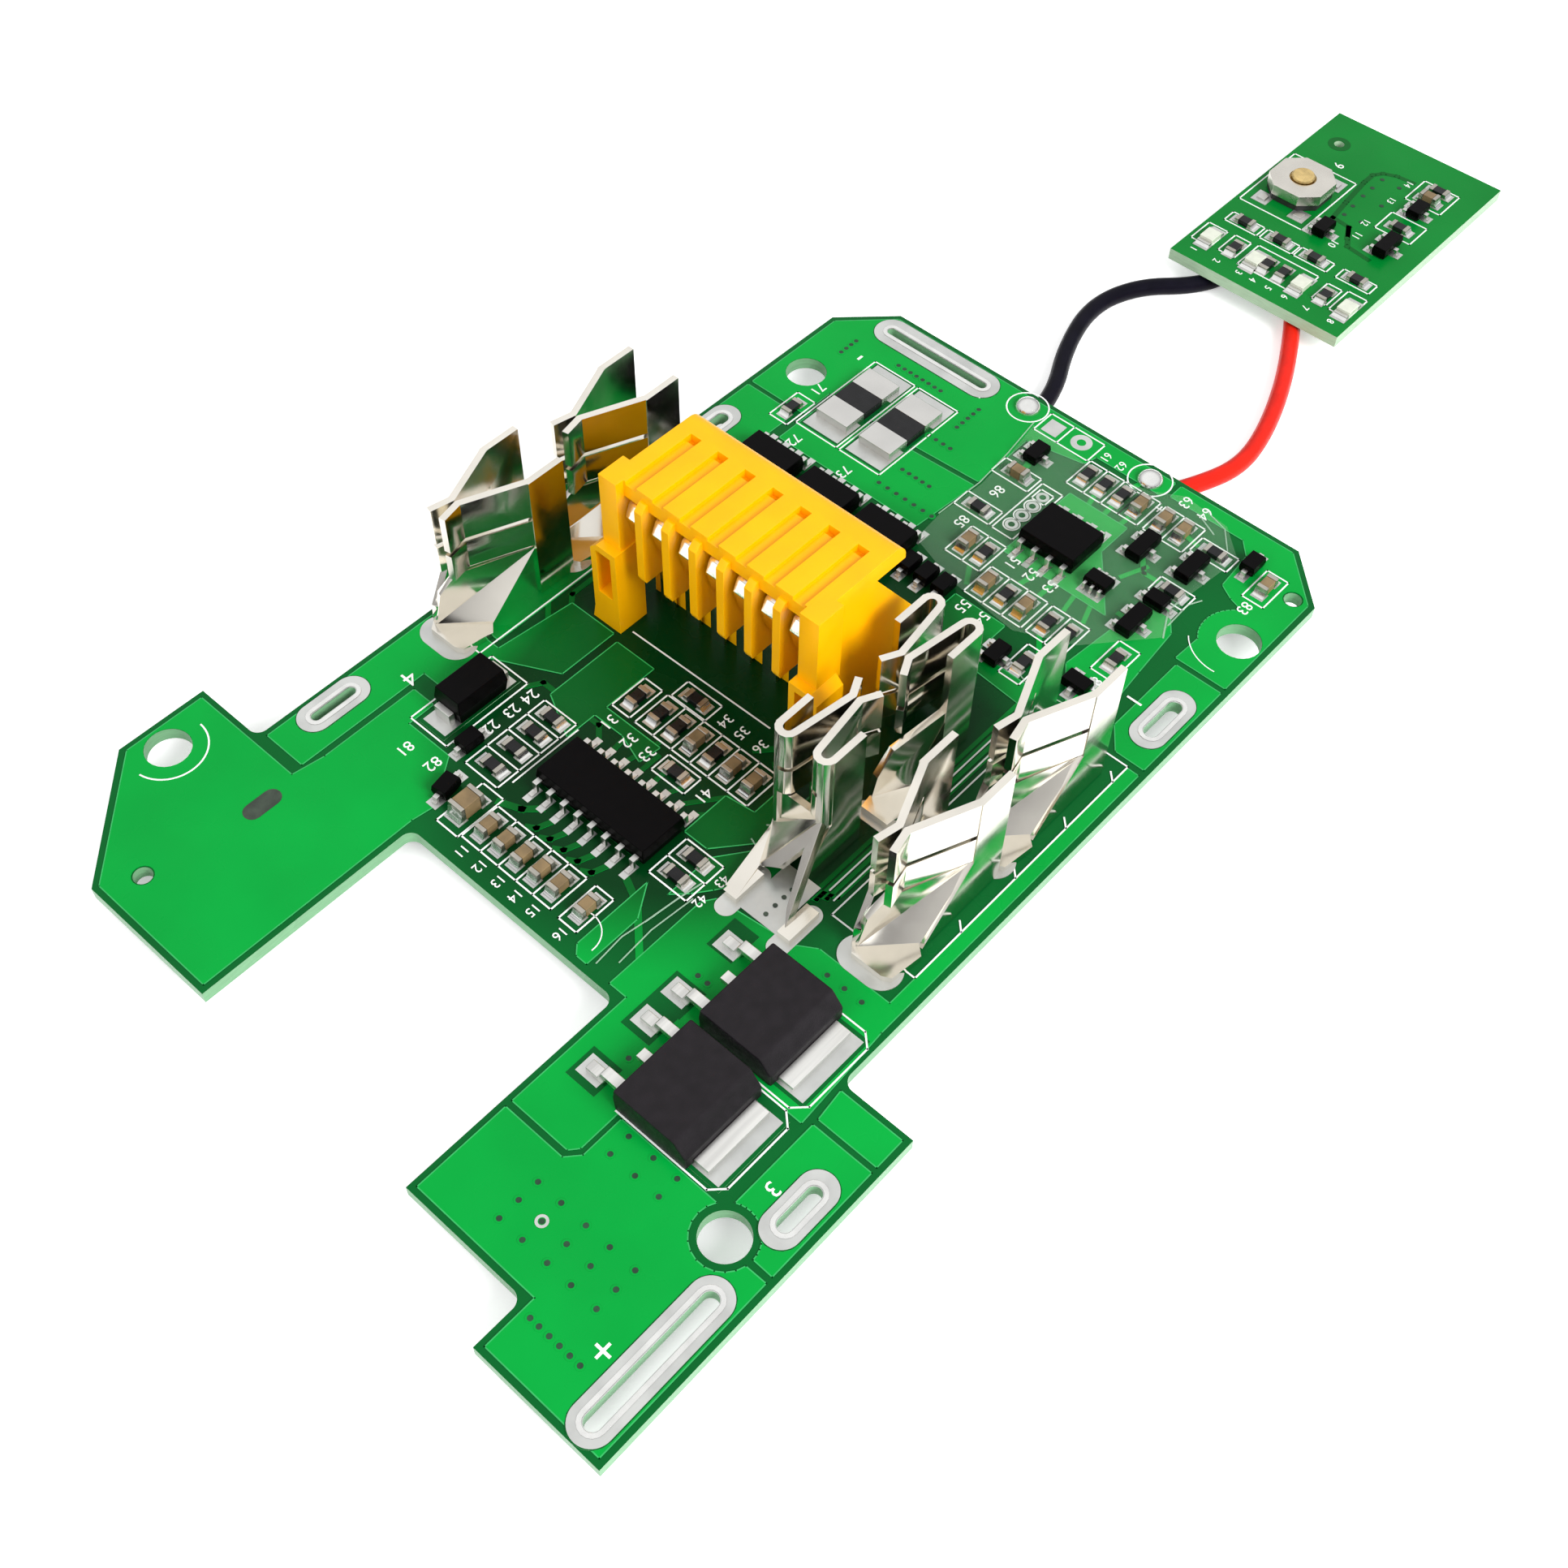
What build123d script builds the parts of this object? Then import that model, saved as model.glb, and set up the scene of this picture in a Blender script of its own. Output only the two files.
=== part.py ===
from build123d import *

import os
from math import atan2, cos, degrees, hypot, pi, radians, sin, tan

# Battery management board: a main circuit board with a seven-way connector, sheet-metal receptacle
# contacts, power transistors, shunt resistors, chips and small parts, and an indicator board on two wires.
# All sizes are in millimetres. Plan places are distances from the main board's near right corner:
# u runs along the board to its far end, v runs across it to its left edge, z is up from its underside.
# The finished pieces are moved so that the origin lies midway between the two near screw holes.

# Main board outline
board_length = 80.5
board_width = 57.0
board_thickness = 1.0
inner_corner_radius = 0.8
right_arm_length = 25.5
right_arm_step_v = 9.7
near_step_u = 3.7
notch_low_v = 19.4
left_arm_width = 19.0
notch_high_v = board_width - left_arm_width
notch_end_u = 20.4
left_arm_chamfer = 7.8
left_arm_end_u = 18.4
field_right_v = 5.5
field_left_step = 5.8
field_left_v = board_width - field_left_step
far_chamfer = 3.9

# Small parts keep their share of the field between its fixed right-hand parts and the larger diode
layout_low_v = 8.0
layout_span = 35.1
layout_left_inset = 8.1


def across(v):
    """A small part's v, on a field whose spacing follows the board's width."""
    return layout_low_v + (v - layout_low_v) * (field_left_v - layout_left_inset - layout_low_v) / layout_span


# Holes in the main board
screw_hole_radius = 1.6
near_screw_u = 13.8
near_screw_right_v = 4.0
near_screw_left_inset = 2.25
near_screw_spacing = board_width - near_screw_left_inset - near_screw_right_v
far_screw_inset = 10.2
far_screw_right_v = 7.7
far_screw_left_inset = 2.8
far_screw_spacing = field_left_v - far_screw_left_inset - far_screw_right_v
peg_hole_radius = 0.65
near_peg_u = 6.5
near_peg_inset = 9.35
near_peg_v = board_width - near_peg_inset
far_peg_inset = 4.3
far_peg_v = 7.1

# Tinned slots for the battery tabs: centre u, centre v, pad length, pad width, slot length, slot width
pad_thickness = 0.08
plus_slot = (6.05, 2.05, 11.9, 2.8, 10.1, 1.1)
third_cell_slot = (17.85, 2.0, 5.7, 2.6, 3.5, 1.0)
left_slot_inset = 1.6
left_slot_v = field_left_v - left_slot_inset
fourth_cell_slot = (23.65, left_slot_v, 5.7, 2.5, 3.7, 0.75)
first_cell_slot = (board_length - 19.6, 7.55, 5.9, 2.65, 3.8, 1.05)
second_cell_slot = (board_length - 19.9, left_slot_v, 5.8, 2.5, 3.7, 1.0)
minus_slot_inset = 2.0
minus_slot_left_inset = 9.25
minus_slot_v = field_left_v - minus_slot_left_inset
minus_pad_size = (12.0, 2.95)
minus_slot_size = (9.9, 0.7)

# Sheet-metal contacts
metal = 0.5
contact_height = 10.8
contact_pitch = 11.15
outer_front_u = 40.4
left_contact_inset = 2.2
left_contact_v = field_left_v - left_contact_inset
right_contact_v = 10.35
wall_half_gap = 2.2
wing_length = 2.9
pinch_back = 4.6
tip_back = 6.3
tip_flare = 0.35
upper_finger_low = 7.7
lower_finger_top = 7.3
lower_finger_low = 5.0
foot_back = 7.4
foot_tab_width = 2.4
foot_tab_back = 7.8
foot_pad_length = 4.6
foot_pad_width = 2.9
foot_pad_back = 7.5
foot_pad_shift = -0.7

# Middle contacts: two looped springs each, front and rear pair facing each other
connector_follow = 0.28
connector_margin = 13.754
connector_v = field_right_v + connector_margin + connector_follow * (field_left_v - field_right_v)
middle_to_connector = 13.35
middle_v = connector_v - middle_to_connector
middle_front_u = 36.2
middle_rear_u = 51.0
loop_half_outer = 2.15
loop_half_inner = 0.95
loop_arm_length = 3.3
loop_pinch_reach = 5.1
loop_tip_reach = 6.4
loop_column_top = 4.9
middle_foot_reach = 5.2
middle_left_foot_offset = 0.3
middle_right_foot_offset = -4.1
middle_rear_foot_offset = -2.2
middle_rear_foot_u = 42.2
middle_foot_pad_length = 4.6
middle_foot_pad_width = 1.5

# Seven-way connector
ways = 7
way_pitch = 2.42
housing_front_u = 42.0
housing_height = 13.8
housing_half_width = 8.95
side_wall = 1.0
post_overhang = 0.6
post_depth = 2.3
slab_setback = 0.7
slab_thickness = 1.4
slab_depth = 8.3
slab_rear_radius = 1.1
cavity_depth = 4.0
rear_shoulder_u = 48.1
rear_slope_u = 52.3
rear_slope_low = 6.8
fin_thickness = 0.65
fin_low = 6.1
fin_corner = 0.5
fin_drop = 0.7
groove_width = 0.95
groove_depth = 0.3
groove_length = 6.1
groove_end_length = 0.5
groove_end_depth = 0.65
leg_forward = 0.7
leg_height = 7.7
leg_overhang = 1.25
leg_flare = 0.25
leg_flare_height = 1.3
leg_width = 2.4
leg_depth = 2.6
leg_window = (1.35, 4.0)
leg_window_low = 3.1
leaf_thickness = 0.3
leaf_width = 1.3
leaf_gap = 0.05
leaf_stem_u = 45.6
leaf_bulge = 2.85
leaf_clearance = 0.5
leaf_top = housing_height - slab_thickness - leaf_clearance
leaf_bulge_mid = leaf_top - 1.3
leaf_bulge_low = leaf_top - 3.1

# Parts that stand below the boards
underside_reach = 1.6
solder_cone_radius = 0.95
solder_cone_tip = 0.55
solder_cone_height = 1.1

# Power transistors with a soldered tab
power_body_length = 6.5
power_body_depth = 5.9
power_body_height = 2.3
power_body_nose = 0.9
power_body_v = 8.4
power_first_u = 18.45
power_pitch = 7.2
power_tab_width = 5.2
power_tab_reach = 1.2
power_tab_thickness = 0.5
power_lead_pitch = 4.57
power_lead_width = 0.75
power_lead_reach = 2.9
power_lead_height = 1.1
power_stub_reach = 0.9

# Shunt resistors
shunt_length = 6.3
shunt_width = 3.1
shunt_height = 0.7
shunt_terminal = 2.1
shunt_terminal_rise = 0.05
shunt_inset = 10.2
shunt_low_v = 38.75
shunt_pitch = 4.3

# Leaded chips: length along the rows of leads, width, height, leads on a side, pitch and span over the leads
lead_thickness = 0.2
chip_seat = 0.15
small_outline_pitch = 1.27
small_outline_width = 3.9
small_outline_height = 1.6
small_outline_span = 6.0
small_outline_lead = 0.42
monitor_chip_length = 9.9
monitor_chip_u = 30.35
monitor_chip_v = 29.8
eight_lead_length = 4.9
switching_chip_length = 4.6
switching_chip_inset = 20.55
switching_chip_pitch = 5.55
switching_chip_left_inset = 7.8
controller_chip_inset = 11.5
controller_chip_v = 22.5

# Larger diode
diode_length = 4.4
diode_width = 2.6
diode_height = 2.2
diode_u = 30.4
diode_left_inset = 8.1
diode_v = field_left_v - diode_left_inset
diode_lead_width = 1.5
diode_lead_reach = 0.5

# Chip resistors and capacitors: length, width, height and end cap
small_chip = (1.6, 0.8)
chip_end = 0.35
chip_end_rise = 0.04
resistor_height = 0.45
capacitor_height = 0.8
large_capacitor = (2.0, 1.25, 1.25)
large_capacitor_place = (23.95, 36.5)
capacitor_column_u = 23.8
capacitor_column_low_v = 27.7
capacitor_column_pitch = 1.65
capacitor_column_count = 5
single_capacitor_place = (23.8, 25.25)
second_column_u = 38.0
far_column_inset = 18.1
far_edge_column_inset = 4.4

# Small transistors and diodes
transistor_body = (2.9, 1.3, 1.0)
transistor_lead_pitch = 0.95
tiny_body = (2.0, 1.25, 0.9)
tiny_lead_pitch = 0.65
signal_diode_body = (1.7, 1.25, 0.95)
small_lead_width = 0.4
small_lead_reach = 0.55

# Indicator board
indicator_gap = 22.0
indicator_v = 20.1
indicator_length = 26.1
indicator_width = 16.3
indicator_peg_place = (22.1, 13.8)
indicator_peg_radius = 0.45
lamp_size = (2.2, 1.25, 0.55)
lamp_end = 0.4
lamp_row_u = 3.3
lamp_first_v = 1.2
lamp_pitch = 4.47
lamp_count = 4

# Push switch on the indicator board
switch_place = (13.9, 12.65)
switch_side = 5.2
switch_base_height = 0.7
switch_corner_cut = 1.35
cover_thickness = 0.3
cover_height = 1.5
cover_skirt = 0.55
button_radius = 1.0
button_hole_clearance = 0.12
button_flange_radius = 1.35
button_flange_thickness = 0.15
button_rise = 0.3
button_travel = 0.25
dome_radius = 1.5
dome_thickness = 0.08
dome_gap = 0.02
switch_lead_pitch = 3.65
switch_lead_reach = 0.75
switch_lead_width = 0.8

# Wires and their soldered ends
wire_diameter = 1.4
wire_core_radius = 0.45
wire_bead_radius = 1.0
wire_bead_height = 0.75
joint_inset = 1.5
minus_joint = (board_length - joint_inset, across(33.2))
plus_joint = (board_length - joint_inset, across(21.6))
black_end_joint = (board_length + indicator_gap + 7.1, indicator_v + 11.8)
red_end_joint = (board_length + indicator_gap + 7.8, indicator_v + 7.3)
core_stub = 0.9
wire_z = -(underside_reach - wire_diameter / 2)
black_bends = [(2.7, 33.6), (8.1, 36.5), (13.7, 38.0), (18.3, 36.6), (21.5, 33.3), (24.7, 31.9)]
red_bends = [(2.3, 19.6), (6.3, 18.3), (10.7, 19.0), (16.1, 20.9), (21.3, 23.5), (25.1, 25.8)]
black_route = [minus_joint, *[(board_length + u, v) for u, v in black_bends], black_end_joint]
red_route = [plus_joint, *[(board_length + u, v) for u, v in red_bends], red_end_joint]

top = board_thickness
parts = {}


def block(u0, u1, v0, v1, z0, z1):
    """A box between two corners."""
    return Pos((u0 + u1) / 2, (v0 + v1) / 2, (z0 + z1) / 2) * Box(u1 - u0, v1 - v0, z1 - z0)


def centred(u, v, length, width, z0, height):
    """A box on a plan centre, standing on z0."""
    return Pos(u, v, z0 + height / 2) * Box(length, width, height)


def prism(points, z0, z1):
    """A straight-sided solid on a plan outline."""
    face = make_face(Polyline(*points, close=True))
    return Pos(0, 0, z0) * extrude(face, amount=z1 - z0, dir=(0, 0, 1))


def side_profile(points, v0, v1):
    """A solid whose outline is drawn in u and z, running across the board from v0 to v1."""
    return Pos(0, v1, 0) * Rot(90, 0, 0) * prism(points, 0, v1 - v0)


def cross_profile(points, u0, u1):
    """A solid whose outline is drawn in v and z, running along the board from u0 to u1."""
    return Rot(0, 0, 90) * side_profile(points, -u1, -u0)


def rounded_bar(u, v, length, width, z0, z1, along_v=False):
    """A bar with round ends, as a slot or its pad."""
    turn = 90 if along_v else 0
    return Pos(u, v, z0) * Rot(0, 0, turn) * extrude(SlotOverall(length, width), amount=z1 - z0)


def facet(points):
    """One flat panel of folded sheet, its metal half to each side of the given corners."""
    face = Face(Wire.make_polygon([Vector(*p) for p in points]))
    return extrude(face, amount=metal / 2, both=True)


def on_plane(u, v, a, b, c):
    """The point above a plan place on the plane through three points."""
    across = Vector(*b) - Vector(*a)
    normal = across.cross(Vector(*c) - Vector(*a))
    return u, v, a[2] - (normal.X * (u - a[0]) + normal.Y * (v - a[1])) / normal.Z


def panel(start, end, outline):
    """An upright sheet panel on the plan line between two points; its outline is in distance from start and z."""
    turn = degrees(atan2(end[1] - start[1], end[0] - start[0]))
    return Pos(*start, 0) * Rot(0, 0, turn) * side_profile(outline, -metal / 2, metal / 2)


def strip(points, thickness, z0, z1):
    """A sheet standing on edge that follows a plan path, with round bends."""
    middle, height = (z0 + z1) / 2, z1 - z0
    solid = None
    for (u0, v0), (u1, v1) in zip(points, points[1:]):
        turn = degrees(atan2(v1 - v0, u1 - u0))
        run = Pos((u0 + u1) / 2, (v0 + v1) / 2, middle) * Rot(0, 0, turn)
        piece = run * Box(hypot(u1 - u0, v1 - v0), thickness, height)
        solid = piece if solid is None else solid + piece
    for u, v in points[1:-1]:
        solid += Pos(u, v, middle) * Cylinder(thickness / 2, height)
    return solid


def group(name, solids):
    """Keeps the separate solids of one node."""
    flat = [solid for item in solids for solid in item.solids()]
    parts[name] = flat[0] if len(flat) == 1 else Compound(flat)


def far(inset):
    """The u of a place measured from the far edge."""
    return board_length - inset


def slot_list():
    """Every tab slot: its centre, pad size, slot size and direction."""
    slots = []
    for u, v, pad_l, pad_w, slot_l, slot_w in (
        plus_slot, third_cell_slot, fourth_cell_slot, first_cell_slot, second_cell_slot,
    ):
        slots.append((u, v, (pad_l, pad_w), (slot_l, slot_w), False))
    slots.append((far(minus_slot_inset), minus_slot_v, minus_pad_size, minus_slot_size, True))
    return slots


def outer_contacts():
    """The four outer contacts: name, bend u, middle v and the side of the full wall."""
    rear = outer_front_u + contact_pitch
    return [
        ("left_front_contact", outer_front_u, left_contact_v, 1),
        ("left_rear_contact", rear, left_contact_v, 1),
        ("right_front_contact", outer_front_u, right_contact_v, -1),
        ("right_rear_contact", rear, right_contact_v, -1),
    ]


def outer_tab(u, v):
    """The plan box of an outer contact's tab in the board."""
    low = v - wall_half_gap + 0.2
    back = u - foot_tab_back
    return back - metal / 2, back + metal / 2, low, low + foot_tab_width


def middle_tabs():
    """The plan boxes of the middle contacts' tabs in the board."""
    boxes = []
    front = middle_front_u - middle_foot_reach
    for offset in (middle_left_foot_offset, middle_right_foot_offset):
        v = middle_v + offset
        boxes.append((front - 0.6, front + 1.4, v - metal / 2, v + metal / 2))
    v = middle_v + middle_rear_foot_offset
    boxes.append((middle_rear_foot_u - 1.0, middle_rear_foot_u - 1.0 + metal, v - 1.1, v + 1.1))
    return boxes


def way_places():
    """The v of each connector way."""
    return [connector_v + (i - (ways - 1) / 2) * way_pitch for i in range(ways)]


def leaf_box(v):
    """The plan box of a leaf contact's stem."""
    return leaf_stem_u - leaf_thickness / 2, leaf_stem_u + leaf_thickness / 2, v - leaf_width / 2, v + leaf_width / 2


def main_board():
    field_chamfer_v = field_left_v - far_chamfer
    outline = [
        (0, 0), (0, right_arm_step_v), (near_step_u, right_arm_step_v), (near_step_u, notch_low_v),
        (notch_end_u, notch_low_v), (notch_end_u, notch_high_v), (near_step_u, notch_high_v),
        (near_step_u, board_width - left_arm_chamfer), (near_step_u + left_arm_chamfer, board_width),
        (left_arm_end_u, board_width), (left_arm_end_u, field_left_v), (far(far_chamfer), field_left_v),
        (board_length, field_chamfer_v), (board_length, field_right_v + far_chamfer),
        (far(far_chamfer), field_right_v), (right_arm_length, field_right_v), (right_arm_length, 0),
    ]
    board = prism(outline, 0, top)
    inner = [
        (near_step_u, right_arm_step_v), (notch_end_u, notch_low_v), (notch_end_u, notch_high_v),
        (left_arm_end_u, field_left_v), (right_arm_length, field_right_v),
    ]
    corners = [
        edge for edge in board.edges().filter_by(Axis.Z)
        if any(hypot(edge.center().X - u, edge.center().Y - v) < 0.01 for u, v in inner)
    ]
    board = fillet(corners, inner_corner_radius)
    for u, v in screw_places():
        board -= Pos(u, v, top / 2) * Cylinder(screw_hole_radius, 2 * top)
    for u, v in ((near_peg_u, near_peg_v), (far(far_peg_inset), far_peg_v)):
        board -= Pos(u, v, top / 2) * Cylinder(peg_hole_radius, 2 * top)
    for u, v, _, (slot_l, slot_w), along_v in slot_list():
        board -= rounded_bar(u, v, slot_l, slot_w, -top, 2 * top, along_v)
    for _, u, v, _ in outer_contacts():
        board -= block(*outer_tab(u, v), -top, 2 * top)
    for box in middle_tabs():
        board -= block(*box, -top, 2 * top)
    for v in way_places():
        board -= block(*leaf_box(v), -top, 2 * top)
    for u, v in (minus_joint, plus_joint):
        board -= Pos(u, v, top / 2) * Cylinder(wire_core_radius, 2 * top)
    group("main_board", [board])


def screw_places():
    near_left_v = near_screw_right_v + near_screw_spacing
    far_left_v = far_screw_right_v + far_screw_spacing
    return [
        (near_screw_u, near_screw_right_v), (near_screw_u, near_left_v),
        (far(far_screw_inset), far_screw_right_v), (far(far_screw_inset), far_left_v),
    ]


def tab_pads():
    pads = []
    for u, v, (pad_l, pad_w), (slot_l, slot_w), along_v in slot_list():
        pad = rounded_bar(u, v, pad_l, pad_w, top, top + pad_thickness, along_v)
        pads.append(pad - rounded_bar(u, v, slot_l, slot_w, 0, 2 * top, along_v))
    group("battery_tab_pads", pads)


def foot_pads():
    """Tinned pads on the board round the contacts' tabs."""
    pads = []
    for _, u, v, _ in outer_contacts():
        pad = rounded_bar(
            u - foot_pad_back, v + foot_pad_shift, foot_pad_length, foot_pad_width, top, top + pad_thickness, True,
        )
        pads.append(pad - block(*outer_tab(u, v), 0, 2 * top))
    left, right, rear = middle_tabs()
    joined = None
    for tab in (left, right):
        u, v = (tab[0] + tab[1]) / 2, (tab[2] + tab[3]) / 2
        pad = rounded_bar(u, v, middle_foot_pad_length, middle_foot_pad_width, top, top + pad_thickness)
        joined = pad if joined is None else joined + pad
    joined += block(left[0], right[1] - 0.3, right[3], left[2], top, top + pad_thickness)
    joined += block(right[1] - 0.5, middle_front_u - 1.3, middle_v - 3.2, middle_v - 0.4, top, top + pad_thickness)
    for tab in (left, right):
        joined -= block(*tab, 0, 2 * top)
    pads.append(joined)
    u, v = (rear[0] + rear[1]) / 2, (rear[2] + rear[3]) / 2
    pad = rounded_bar(u, v, rear[3] - rear[2] + 1.2, middle_foot_pad_width, top, top + pad_thickness, True)
    pads.append(pad - block(*rear, 0, 2 * top))
    group("contact_foot_pads", pads)


def outer_contact(name, u, v, full_side):
    """A receptacle: two walls whose split fingers pinch towards the near end, on one folded foot."""
    pinch = metal / 2 + 0.05
    seat = top + pad_thickness
    z_top = top + contact_height
    solid = None
    for side in (-1, 1):
        wall_v = v + side * wall_half_gap
        path = [
            (u, wall_v), (u - pinch_back, v + side * pinch), (u - tip_back, v + side * (pinch + tip_flare)),
        ]
        for low, high in ((upper_finger_low, contact_height), (lower_finger_low, lower_finger_top)):
            piece = strip(path, metal, top + low, top + high)
            solid = piece if solid is None else solid + piece
        solid += block(u - metal / 2, u + wing_length, wall_v - metal / 2, wall_v + metal / 2, seat, z_top)
        if side == full_side:
            web = [(u + 0.2, seat), (u + 0.2, top + 4.9), (u - 0.2, top + 4.9), (u - pinch_back, seat)]
            solid += side_profile(web, wall_v - metal / 2, wall_v + metal / 2)
    back_v = v + 0.7
    start_v = v - wall_half_gap + 0.1
    crease_low = (u - foot_back, back_v, top + 0.45)
    fold = (u - pinch_back, start_v, top + 0.3)
    apex = (u + 0.15, start_v, top + 4.65)
    solid += facet([crease_low, fold, apex])
    finger_gap_z = top + lower_finger_low - 0.3
    run = hypot(foot_back + 0.15, back_v - start_v)
    solid += panel(apex[:2], crease_low[:2], [
        (0, apex[2]), (0, top + lower_finger_low + 0.2), (0.5, finger_gap_z), (run - 2.0, finger_gap_z),
        (run - 0.6, top + 3.2), (run, crease_low[2]),
    ])
    far_v = v + wall_half_gap - 0.1
    run = hypot(foot_back + 0.15, back_v - far_v)
    solid += panel((apex[0], far_v), crease_low[:2], [
        (0, seat), (0, top + lower_finger_low + 0.2), (0.5, finger_gap_z), (run - 2.0, finger_gap_z),
        (run - 0.2, top + 2.0), (run, seat),
    ])
    tab = outer_tab(u, v)
    foot = [
        (tab[0], tab[2]), (tab[0], tab[3]), (u - foot_back, back_v + 0.2), (u - pinch_back + 0.1, start_v + 0.1),
        (u - pinch_back - 0.7, tab[2] - 0.9), (tab[0] + 0.3, tab[2] - 0.6),
    ]
    solid += prism(foot, seat, seat + metal)
    solid += block(*tab, -underside_reach, seat + metal)
    group(name, [solid])


def loop_path(bend_u, reach, side):
    """The plan path of one looped spring: outer arm, round bend, inner arm, pinch and flared tip."""
    outer = middle_v + side * loop_half_outer
    inner = middle_v + side * loop_half_inner
    radius = (loop_half_outer - loop_half_inner) / 2
    centre_u = bend_u + reach * radius
    path = [(bend_u + reach * loop_arm_length, outer)]
    for step in range(7):
        angle = radians(90 - 30 * step)
        path.append((centre_u - reach * radius * cos(angle), (outer + inner) / 2 + side * radius * sin(angle)))
    path.append((bend_u + reach * loop_pinch_reach, middle_v + side * (metal / 2 + 0.05)))
    path.append((bend_u + reach * loop_tip_reach, middle_v + side * loop_half_inner))
    return path


def middle_contact(name, bend_u, reach):
    """Two looped springs on one folded cage; reach is 1 where the springs point to the far end."""
    solid = None
    seat = top + pad_thickness
    for side in (-1, 1):
        path = loop_path(bend_u, reach, side)
        for low, high in ((upper_finger_low, contact_height), (lower_finger_low, lower_finger_top)):
            piece = strip(path, metal, top + low, top + high)
            solid = piece if solid is None else solid + piece
        outer = middle_v + side * loop_half_outer
        arm = sorted((bend_u + reach * 0.4, bend_u + reach * loop_arm_length))
        solid += block(*arm, outer - metal / 2, outer + metal / 2, seat, top + contact_height)
        column = path[1:5]
        solid += strip(column, metal, top + 1.0, top + contact_height)
    web = sorted((bend_u, bend_u + reach * metal))
    half = loop_half_outer - 0.3
    solid += block(*web, middle_v - half, middle_v + half, top + 1.0, top + loop_column_top)
    return solid


def middle_front():
    solid = middle_contact("middle_front_contact", middle_front_u, 1)
    left, right, _ = middle_tabs()
    seat = top + pad_thickness
    skirt_z = seat + metal / 2
    web_u = middle_front_u + 0.25
    half = loop_half_outer - 0.1
    shoulder_u = middle_front_u - 2.2
    high = (web_u, middle_v - half, top + 4.9)
    outer_low = (web_u, middle_v + half, top + 1.2)
    ridge_low = (middle_front_u - 2.8, middle_v + 0.6, skirt_z + 0.1)
    right_foot = (right[0] + 0.6, right[3], skirt_z)
    solid += facet([ridge_low, outer_low, high])
    inner = [(-2.6, -0.9), (-1.3, -1.9), (-4.2, -3.1)]
    skirt = [on_plane(middle_front_u + u, middle_v + v, high, ridge_low, right_foot) for u, v in inner]
    solid += facet([high, ridge_low, *skirt, right_foot])
    left_foot = (left[0] + 0.4, left[3] + 0.7, skirt_z)
    left_tip = (left[0] + 0.2, left[2], skirt_z)
    solid += facet([outer_low, left_foot, ridge_low])
    solid += facet([left_foot, left_tip, ridge_low])
    for tab in (left, right):
        solid += block(tab[0], tab[1], tab[2] - 0.1, tab[3] + 0.1, seat, seat + metal)
        solid += block(*tab, -underside_reach, seat + metal)
    solid += block(right[0], right[1] + 0.8, right[2] - 0.2, right[3] + 0.35, seat, seat + metal)
    solid += block(left[0], left[1] + 0.6, left[2] - 0.1, left[3] + 0.5, seat, seat + metal)
    edge = [
        (shoulder_u, seat), (shoulder_u, top + 0.6), (web_u, top + 4.4), (web_u + 0.4, top + 4.4), (web_u + 0.4, seat),
    ]
    right_v = middle_v - loop_half_outer
    solid += side_profile(edge, right_v - metal / 2, right_v + metal / 2)
    group("middle_front_contact", [solid])


def middle_rear():
    solid = middle_contact("middle_rear_contact", middle_rear_u, -1)
    tab = middle_tabs()[2]
    start_u = middle_rear_foot_u
    wall_u = middle_rear_u - loop_arm_length + 0.2
    right_v = middle_v - loop_half_outer
    seat = top + pad_thickness
    solid += prism([
        (tab[0], tab[2]), (tab[0], tab[3]), (start_u + 1.6, tab[3] + 0.4), (start_u + 2.6, right_v - 0.3),
        (start_u + 0.8, tab[2] - 0.2),
    ], seat, seat + metal)
    solid += block(*tab, -underside_reach, seat + metal)
    crease_low = (start_u, middle_v - 0.9, top + 0.35)
    fold = (start_u + 2.3, right_v, top + 0.3)
    apex = (wall_u + 0.2, right_v, top + 4.6)
    solid += facet([crease_low, fold, apex])
    run = hypot(apex[0] - crease_low[0], apex[1] - crease_low[1])
    solid += panel(apex[:2], crease_low[:2], [
        (0, apex[2]), (0, top + 5.4), (run - 1.6, top + 4.4), (run - 0.4, top + 2.4), (run, crease_low[2]),
    ])
    floor_edge = [(wall_u - 0.2, seat), (wall_u - 0.2, top + 4.8), (wall_u + 0.5, top + 5.4), (wall_u + 0.5, seat)]
    solid += side_profile(floor_edge, right_v - metal / 2, right_v + metal / 2)
    group("middle_rear_contact", [solid])


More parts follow.
